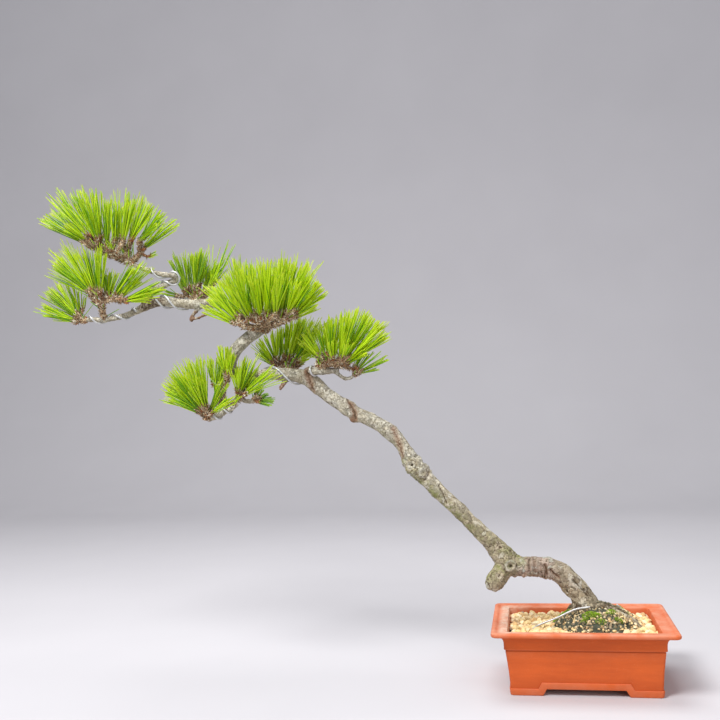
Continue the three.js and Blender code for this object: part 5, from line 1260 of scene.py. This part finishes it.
            # the holes and a ring round each darken: partly their own dark wood, partly painted shade in the
            # recesses
            self.depth = np.maximum(self.depth * (1 - 0.95 * lip), inside * min(0.3 + 0.2 * deep, 0.8))
            self.depth = np.maximum(self.depth, 0.6 * outside)
            self.pale = np.maximum(self.pale * (1 - outside), lip)
            self.glow = np.maximum(self.glow, lip)

    def green_film(self):
        """It lies on top of the cut stub, and along the lower side of the trunk above it."""
        x, _, z = self.places.T
        facing = self.normals
        high = clamp((z - 155) / 25)
        film = clamp((z - 100) / 18) * clamp((330 - z) / 120, 0.12)
        film *= 1 - 0.85 * clamp((x + 66) / 14) * (z < 175)
        # painted shade: the olive film is laid on the trunk's lower side, where shade falls
        lower = clamp(0.55 - 0.75 * facing[:, 2] - 0.3 * facing[:, 0], 0.1)
        upper = clamp(0.45 + 0.75 * facing[:, 2], 0.1)
        side = upper * (1 - high) + lower * high
        return clamp(film * side * (0.9 + 0.6 * self.coarse) * (1 - 0.6 * self.glow))

    def tints(self):
        """Crack depth, green film, zone from whitish to pinkish, and the alpha that falls on a scar."""
        x, _, z = self.places.T
        # the arch is pinkish; its underside gets more of the pinkish-brown bark, partly its own colour and
        # partly painted shade
        pink_and_underside_shade = clamp(self.arch * 1.2 + 0.35 * clamp(-self.normals[:, 2] - 0.2))
        zone = clamp(0.5 + 0.5 * pink_and_underside_shade - 0.5 * self.pale * (1 - pink_and_underside_shade))
        gaps = np.linalg.norm(self.places[:, None, :] - DEADWOOD[None, :, :3], axis=2) - DEADWOOD[None, :, 3]
        scar_and_shade = clamp(np.maximum(self.scar_and_shade, clamp(-np.min(gaps, axis=1) / 3)))
        # painted shade where the trunk's foot meets the mound
        foot = clamp((93 - z) / 7) * clamp((42 - x) / 8)
        # painted shade at the fork, which the pads shade: darker and browner there
        fork = hump(self.away((-511, 3, 460)), 18, 4)
        depth = clamp(self.depth + foot * (0.7 + 0.5 * self.coarse) + fork * (0.7 + 0.8 * self.middle))
        scar_and_shade = np.maximum(scar_and_shade, 0.4 * fork)
        return np.stack([depth, self.green_film(), zone, 1 - 0.95 * scar_and_shade], axis=1)


def make_trunk(context):
    """The trunk, its branches and its roots as one skin with bark."""
    colours, sizes = context.scene.bonsai.colours, context.scene.bonsai.sizes
    made, middles = join_wood(bark_finish(colours), sizes.bark_cell * (1.0))
    bark = Bark(made.data, middles)
    bark.lay_plates()
    bark.raise_lumps()
    bark.cut_lines()
    bark.cut_rounds()
    set_tints(made.data, bark.tints())
    places = bark.places + bark.normals * bark.height[:, None]
    made.data.vertices.foreach_set("co", (places * MM + ORIGIN).ravel())
    smooth_all(made.data)
    made.data.update()
    stand_for(made, "bark", "trunk")


# ---- wires and drain screens


def share_at_x(limb, x):
    """The share of the trunk's curve nearest to an X, on the stretch of it past the bend or at its end."""
    low, high = (0.9, 1.0) if x < -420 else (0.6, 0.72)
    shares = np.linspace(low, high, 401)
    return float(min(shares, key=lambda t: abs(limb.point(t)[0] - x)))


def wound_path(limb, places):
    """The middle line of a wire wound on a limb, clear of its bark."""
    probes = limb.samples(120)
    shares = np.array([probe[0] for probe in probes])
    places = [(share_at_x(limb, t) if abs(t) > 1 else t, turns) for t, turns in places]
    path = []
    for (first, start), (last, end) in zip(places, places[1:]):
        count = int(max((end - start) * 24, (last - first) * limb.length / 1.2))
        for i in range(1 if path else 0, count + 1):
            t = first + (last - first) * i / count
            _, _, along, across, radius = probes[int(np.argmin(np.abs(shares - t)))]
            turn = (start + (end - start) * i / count) * 2 * math.pi
            reach = radius * 1.08 + 1.7
            side = np.cross(along, across)
            path.append(limb.point(t) + across * reach * math.cos(turn) + side * reach * math.sin(turn))
    path = np.array(path)
    for _ in range(8):
        path[1:-1] = (path[:-2] + 2 * path[1:-1] + path[2:]) / 4
    return path


def make_wires(context):
    """The training wires, wound on their limbs, and the tie-down wire."""
    colours, sizes = context.scene.bonsai.colours, context.scene.bonsai.sizes
    finish = wire_finish(colours)
    limbs = wood_limbs()
    for name, (limb, places) in WOUND_WIRES.items():
        points, faces = tube(path_samples(wound_path(limbs[limb], places), sizes.wire_radius / MM), 10)
        stand_for(make_object(f"wire_{name}", points, faces, [finish]), "wire", f"training_wire_{name}")
    route = Limb([[*place, TIE_WIRE_RADIUS] for place in TIE_WIRE])
    points, faces = tube(path_samples([sample[1] for sample in route.samples(150)], TIE_WIRE_RADIUS), 10)
    stand_for(make_object("wire_tie_down", points, faces, [finish]), "wire", "tie_down_wire")


def dress_screens(_context):
    """The drain screens keep their CAD shape and get their finish."""
    finish = screen_finish()
    for name in ("drain_screen_left", "drain_screen_right"):
        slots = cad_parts[name].material_slots
        if not slots:
            raise RuntimeError(f"{name} has no material slot")
        for slot in slots:
            slot.material = finish


# ---- sprays


def needle_arrays(roots, directions, lengths, bends, widths, rolls):
    """Points and faces of many needles at once, each a closed spike with a slight bow, and for each needle's
    points how far along it they lie."""
    sides = 3
    shares = np.array([0.0, 0.1, 0.4, 0.72, 0.93, 0.985])
    girth = np.array([0.6, 0.95, 1.0, 0.98, 0.88, 0.6])
    count = len(roots)
    helper = np.where(np.abs(directions[:, 2:3]) > 0.9, [[1.0, 0, 0]], [[0, 0, 1.0]])
    across = unit(np.cross(helper, directions))
    side = np.cross(directions, across)
    centre = (
        roots[:, None, :]
        + directions[:, None, :] * (lengths[:, None] * shares)[:, :, None]
        + bends[:, None, :] * (lengths[:, None] * shares**2)[:, :, None]
    )
    angles = (2 * math.pi * np.arange(sides) / sides + rolls[:, None])[:, :, None]
    spokes = across[:, None, :] * np.cos(angles) + side[:, None, :] * np.sin(angles)
    reach = (widths[:, None] * 0.5 * girth)[:, :, None, None]
    rings = centre[:, :, None, :] + spokes[:, None, :, :] * reach
    tips = roots + directions * lengths[:, None] + bends * lengths[:, None]
    each = len(shares) * sides + 1
    points = np.concatenate([rings.reshape(count, -1, 3), tips[:, None, :]], axis=1).reshape(-1, 3)
    template = rings_to_faces(len(shares), sides)[:-1]
    last = (len(shares) - 1) * sides
    template += [[last + k, last + (k + 1) % sides, each - 1] for k in range(sides)]
    faces = [[corner + i * each for corner in face] for i in range(count) for face in template]
    return points, faces, np.concatenate([np.repeat(shares, sides), [1.0]])


def needle_parts(needles):
    """Roots, directions, bends and lengths, from the rows of a table of needles."""
    return needles[:, :3], needles[:, 3:6], needles[:, 6:9], needles[:, 9]


def wood_guard():
    """Points and radii of the wood, for needles to keep clear of."""
    spots = []
    for name, limb in wood_limbs().items():
        if not name.startswith("root"):
            for _, point, _, _, radius in limb.samples(max(4, int(limb.length / 4))):
                spots.append((*point, radius))
    spots = np.array(spots)
    return spots[:, :3], spots[:, 3]


# A scale is a closed, pointed, slightly hollow leaf of four faces.
SCALE_FACES = [[0, 2, 1], [0, 3, 2], [1, 2, 3], [0, 1, 3]]


class Spray:
    """One leafy stem while it grows: its shape so far, its needles and its own seeded draws."""

    def __init__(self, plan, sizes, seed):
        self.plan = plan
        self.sizes = sizes
        random = np.random.default_rng(seed)
        self.draw, self.normal = random.uniform, random.normal
        self.shape = Shape()
        # one row for each needle: root, direction, bend, length, own tone and extra shade
        self.needles = []

    def scale(self, root, out, around, length):
        own = self.draw(0, 1)
        width = length * self.draw(0.4, 0.65)
        side = unit(np.cross(out, around))
        hollow = root + out * length * 0.3 + np.cross(side, out) * width * 0.4
        points = [root - side * width / 2, root + side * width / 2, hollow, root + out * length]
        self.shape.add(points, SCALE_FACES, 1, [(along, own, 0, 1) for along in (0.0, 0.0, 0.4, 1.0)])

    def clad(self, limb, density, size):
        """Covers a shoot with dry scales that point forward along it."""
        draw = self.draw
        for _, point, along, across, radius in limb.samples(max(3, int(limb.length / 1.2))):
            side = np.cross(along, across)
            for _ in range(density):
                turn = draw(0, 6.28)
                around = across * math.cos(turn) + side * math.sin(turn)
                out = unit(along * draw(0.4, 1.3) + around * draw(0.5, 1.1))
                root = point + around * radius * 0.8 + along * draw(-0.8, 0.8)
                self.scale(root, out, around, size * draw(0.6, 1.5))

    def rough_tube(self, limb, count, tone):
        wander = self.draw(0, 6.28)

        def swell(i, angle):
            return 1.0 + 0.2 * math.sin(1.9 * i + wander) + 0.14 * math.sin(3 * angle + 0.8 * i)

        points, faces = tube(limb.samples(count), 9, swell)
        self.shape.add(points, faces, 1, (0.2, tone, 0, 1))

    def grow_stems(self):
        """The stems. Returns the places on them where shoots may start."""
        starts = []
        for stations in self.plan["stems"]:
            limb = Limb([[*station[:3], station[3] * 1.2] for station in stations])
            self.rough_tube(limb, max(5, int(limb.length / 2.0)), self.draw(0.3, 0.6))
            self.clad(limb, 8, 3.8)
            starts.extend(sample[1] for sample in limb.samples(max(4, int(limb.length / 2.5)))[1:])
        return np.array(starts)

    def grow_shoot(self, bundle, starts):
        """A short stalk from the nearest stem, at times with a bud, and its bundle of paired needles."""
        draw, normal = self.draw, self.normal
        base, reach, fullness = np.array(bundle[:3]), np.array(bundle[3:6]), bundle[6]
        length = float(np.linalg.norm(reach))
        axis = reach / length
        across = unit(np.cross([0, 1, 0], axis))
        side = np.cross(axis, across)
        foot = starts[int(np.argmin(np.linalg.norm(starts - base, axis=1)))]
        foot = foot - axis * 2.0 if np.linalg.norm(foot - base) < 2.0 else foot
        middle = base * 0.5 + foot * 0.5 + normal(size=3) * 0.7
        stout = 0.55 + 0.45 * fullness
        stalk = Limb([
            [*foot, 2.3 * stout], [*middle, 2.2 * stout], [*base, 2.5 * stout], [*(base + axis * 5), 1.3],
        ])
        self.rough_tube(stalk, 8, draw(0.1, 0.6))
        self.clad(stalk, 6 if fullness > 0.3 else 2, 3.3)
        if draw() < 0.55 * fullness:
            lean = unit(axis + across * normal() * 0.5 + side * normal() * 0.5)
            self.grow_bud(base + side * normal() * 1.5 - axis * 2, lean)
        # the spray's deep sets its needles' tone; a low deep in the dense pads is partly painted light
        # against their own shade
        mood = self.plan["deep"] + normal() * 0.16
        pairs = max(2, round(self.sizes.needles_per_shoot * fullness / 2))
        for i in range(pairs + 1):
            # the last pair is a stray one that leans far out
            share = math.sqrt((i + 0.5) / pairs) if i < pairs else 1.9
            turn = i * GOLDEN_ANGLE + draw(-0.5, 0.5)
            spread = math.radians(max(7.8 * share + normal() * 5.2, 0.3))
            fan = across * math.cos(turn) + side * math.sin(turn)
            start = draw(-1.0, 5.0)
            root = base + axis * start + fan * (0.7 + 1.5 * min(share, 1.0))
            needle = (length - start) * (1.03 - abs(normal()) * 0.1)
            needle *= 1.0 if share < 1 else draw(0.6, 0.95)
            needle *= draw(1.04, 1.12) if draw() < 0.08 else 1.0
            bow = fan * draw(-0.08, 0.06) + normal(size=3) * 0.032 + np.array([0, 0, -0.012])
            for twin in (-1, 1):
                split = unit(normal(size=3)) * 0.042 * twin
                direction = unit(axis * math.cos(spread) + fan * math.sin(spread) + split)
                own = min(max(normal(mood, 0.6), 0.0), 1.0)
                bend = bow + split * 0.5 + normal(size=3) * 0.012
                drawn = needle * draw(0.96, 1.02)
                self.needles.append((*root, *direction, *bend, drawn, own, 0.0))

    def grow_bud(self, start, lean):
        size = self.draw(0.8, 1.2)
        bud = Limb([
            [*(start + lean * ahead * size), radius * size]
            for ahead, radius in ((0, 1.5), (3, 2.2), (6, 1.6), (8.5, 0.5))
        ])
        self.rough_tube(bud, 6, self.draw(0.0, 0.15))
        self.clad(bud, 2, 2.0)

    def grow_inner_needles(self, starts):
        """Short needles between the bundles, which hide their bare feet."""
        draw, normal = self.draw, self.normal
        for point in starts[::2]:
            direction = unit(np.array([normal() * 0.7, normal() * 0.7, draw(0.5, 1.3)]))
            bend = normal(size=3) * 0.03
            length, own = draw(12, 28), draw(0.3, 1.0)
            # the short inner needles carry 0.2 of painted shade
            self.needles.append((*point, *direction, *bend, length, own, 0.2))

    def finish_needles(self, guard):
        """Leaves out the needles that would run into the wood, and builds the others."""
        needles = np.array(self.needles)
        roots, directions, bends, lengths = needle_parts(needles)
        guard_points, guard_radii = guard
        keep = np.ones(len(needles), dtype=bool)
        for share in np.linspace(0.25, 1.0, 9):
            spots = roots + directions * (lengths * share)[:, None] + bends * (lengths * share**2)[:, None]
            gaps = np.linalg.norm(spots[:, None, :] - guard_points[None, :, :], axis=2) - guard_radii[None, :]
            keep &= gaps.min(axis=1) > 1.0
        needles = needles[keep]
        roots, directions, bends, lengths = needle_parts(needles)
        widths = self.sizes.needle_width / MM * self.draw(0.85, 1.12, size=len(needles))
        rolls = self.draw(0, 6.28, size=len(needles))
        points, faces, runs = needle_arrays(roots, directions, lengths, bends, widths, rolls)
        own, extra = (np.repeat(needles[:, column], len(runs)) for column in (10, 11))
        tints = [np.tile(runs, len(needles)), own, extra + self.plan["shade"], np.ones(len(points))]
        self.shape.add(points, faces, 0, np.stack(tints, axis=1))


def make_sprays(context):
    """Every spray, with a seed of its own."""
    colours, sizes = context.scene.bonsai.colours, context.scene.bonsai.sizes
    finishes = [needle_finish(colours), scale_finish(colours)]
    guard = wood_guard()
    for seed, (name, plan) in enumerate(SPRAYS.items(), start=41):
        spray = Spray(plan, sizes, seed)
        starts = spray.grow_stems()
        for bundle in plan["shoots"]:
            spray.grow_shoot(bundle, starts)
        spray.grow_inner_needles(starts)
        spray.finish_needles(guard)
        made = spray.shape.piece(f"needles_{name}", finishes)
        made.data.set_sharp_from_angle(angle=math.radians(55))
        stand_for(made, "needles", f"spray_{name}")


# ---- stage

# The camera, as fitted to the pot's corners: its place in millimetres, its turns and its lens.
CAMERA = {"place": (-48.3, -1102.3, 328.1), "yaw": 10.2, "pitch": 2.55, "roll": -2.02, "lens": 46.345}
# Soft lights: name, place, aim, size and power.
LIGHTS = [
    ("key_light", (-0.7, -1.2, 1.9), (-0.05, 0.0, 0.3), 0.8, 52),
    ("fill_light", (1.4, -1.6, 0.8), (0.0, 0.0, 0.25), 1.4, 12),
    ("top_light", (0.0, 0.35, 1.9), (0.0, 0.0, 0.3), 1.0, 18),
]
# The floor in metres: its two sides, its front, where it starts to curve up, the curve's radius and its top.
FLOOR = {"left": -3.6, "right": 3.4, "front": -2.2, "curve_y": 1.6, "radius": 0.9, "top": 3.6}


def add_floor(scene):
    """A pale floor that curves up behind the tree."""
    bend, radius = FLOOR["curve_y"], FLOOR["radius"]
    profile = [(FLOOR["front"], 0.0), (bend, 0.0)]
    for angle in np.linspace(0.1, math.pi / 2, 14):
        profile.append((bend + radius * math.sin(angle), radius - radius * math.cos(angle)))
    profile.append((bend + radius, FLOOR["top"]))
    points = [(x, y, z) for y, z in profile for x in (FLOOR["left"], FLOOR["right"])]
    faces = [[2 * i, 2 * i + 1, 2 * i + 3, 2 * i + 2] for i in range(len(profile) - 1)]
    mesh = bpy.data.meshes.new("studio_floor")
    mesh.from_pydata(points, [], faces)
    mesh.materials.append(floor_finish())
    smooth_all(mesh)
    floor = bpy.data.objects.new("studio_floor", mesh)
    scene.collection.objects.link(floor)


def add_lights(scene):
    world = bpy.data.worlds.new("studio_world")
    world.use_nodes = True
    sky = world.node_tree.nodes["Background"].inputs
    sky["Color"].default_value = (0.93, 0.95, 1.0, 1.0)
    sky["Strength"].default_value = 0.53
    scene.world = world
    for name, place, aim, size, power in LIGHTS:
        lamp = bpy.data.lights.new(name, "AREA")
        lamp.size = size
        lamp.energy = power
        holder = bpy.data.objects.new(name, lamp)
        holder.location = place
        holder.rotation_euler = (Vector(aim) - Vector(place)).to_track_quat("-Z", "Y").to_euler()
        scene.collection.objects.link(holder)


def add_camera(scene):
    yaw, pitch, roll = (math.radians(CAMERA[turn]) for turn in ("yaw", "pitch", "roll"))
    forward = Vector((-math.sin(yaw) * math.cos(pitch), math.cos(yaw) * math.cos(pitch), math.sin(pitch)))
    right = Vector((math.cos(yaw), math.sin(yaw), 0.0))
    up = right.cross(forward)
    right, up = right * math.cos(roll) + up * math.sin(roll), up * math.cos(roll) - right * math.sin(roll)
    lens = bpy.data.cameras.new("photo_camera")
    lens.lens = CAMERA["lens"]
    lens.sensor_width = 36.0
    lens.clip_start = 0.02
    camera = bpy.data.objects.new("photo_camera", lens)
    turn = Matrix((right, up, -forward)).transposed().to_4x4()
    camera.matrix_world = Matrix.Translation(Vector(np.array(CAMERA["place"]) * MM + ORIGIN)) @ turn
    scene.collection.objects.link(camera)
    scene.camera = camera


def make_stage(context):
    """A plain floor, soft light, and the camera at the photograph's angle."""
    context.scene.view_settings.view_transform = "Standard"
    add_floor(context.scene)
    add_lights(context.scene)
    add_camera(context.scene)


# ---- the add-on


def operator(idname, label, doc, build):
    """An Operator that builds one piece, or a group of like pieces."""

    def execute(self, context):
        build(context)
        return {"FINISHED"}

    members = {
        "__doc__": doc, "bl_idname": idname, "bl_label": label, "bl_options": {"REGISTER", "UNDO"},
        "execute": execute,
    }
    return type("BONSAI_OT_" + idname.split(".")[1], (bpy.types.Operator,), members)


OPERATORS = [
    operator("bonsai.stage", "Stage", "Sets up the floor, the lights and the camera", make_stage),
    operator("bonsai.pot", "Pot", "Builds the clay pot", make_pot),
    operator("bonsai.screens", "Drain screens", "Gives the drain screens their finish", dress_screens),
    operator("bonsai.soil", "Soil", "Builds the planting mix and the root mound", make_soil),
    operator("bonsai.gravel", "Gravel", "Lays the grains of gravel", make_gravel),
    operator("bonsai.moss", "Moss", "Grows the moss on the mound", make_moss),
    operator("bonsai.trunk", "Trunk", "Builds the trunk, branches and roots with their bark", make_trunk),
    operator("bonsai.wires", "Wires", "Winds the training wires and lays the tie-down wire", make_wires),
    operator("bonsai.sprays", "Sprays", "Grows the shoots and needles of every spray", make_sprays),
]


class BONSAI_PT_panel(bpy.types.Panel):
    """The bonsai's settings and operators"""

    bl_label = "Bonsai"
    bl_idname = "BONSAI_PT_panel"
    bl_space_type = "VIEW_3D"
    bl_region_type = "UI"
    bl_category = "Bonsai"

    def draw(self, context):
        settings = context.scene.bonsai
        for group in (settings.sizes, settings.colours):
            box = self.layout.box()
            for key in group.__annotations__:
                box.prop(group, key)
        for kind in OPERATORS:
            self.layout.operator(kind.bl_idname)


CLASSES = [BonsaiColours, BonsaiSizes, BonsaiSettings, *OPERATORS, BONSAI_PT_panel]


def register():
    for kind in CLASSES:
        bpy.utils.register_class(kind)
    bpy.types.Scene.bonsai = bpy.props.PointerProperty(type=BonsaiSettings)


def unregister():
    del bpy.types.Scene.bonsai
    for kind in reversed(CLASSES):
        bpy.utils.unregister_class(kind)


def main():
    register()
    for kind in OPERATORS:
        group, name = kind.bl_idname.split(".")
        getattr(getattr(bpy.ops, group), name)()


if __name__ == "__main__":
    main()
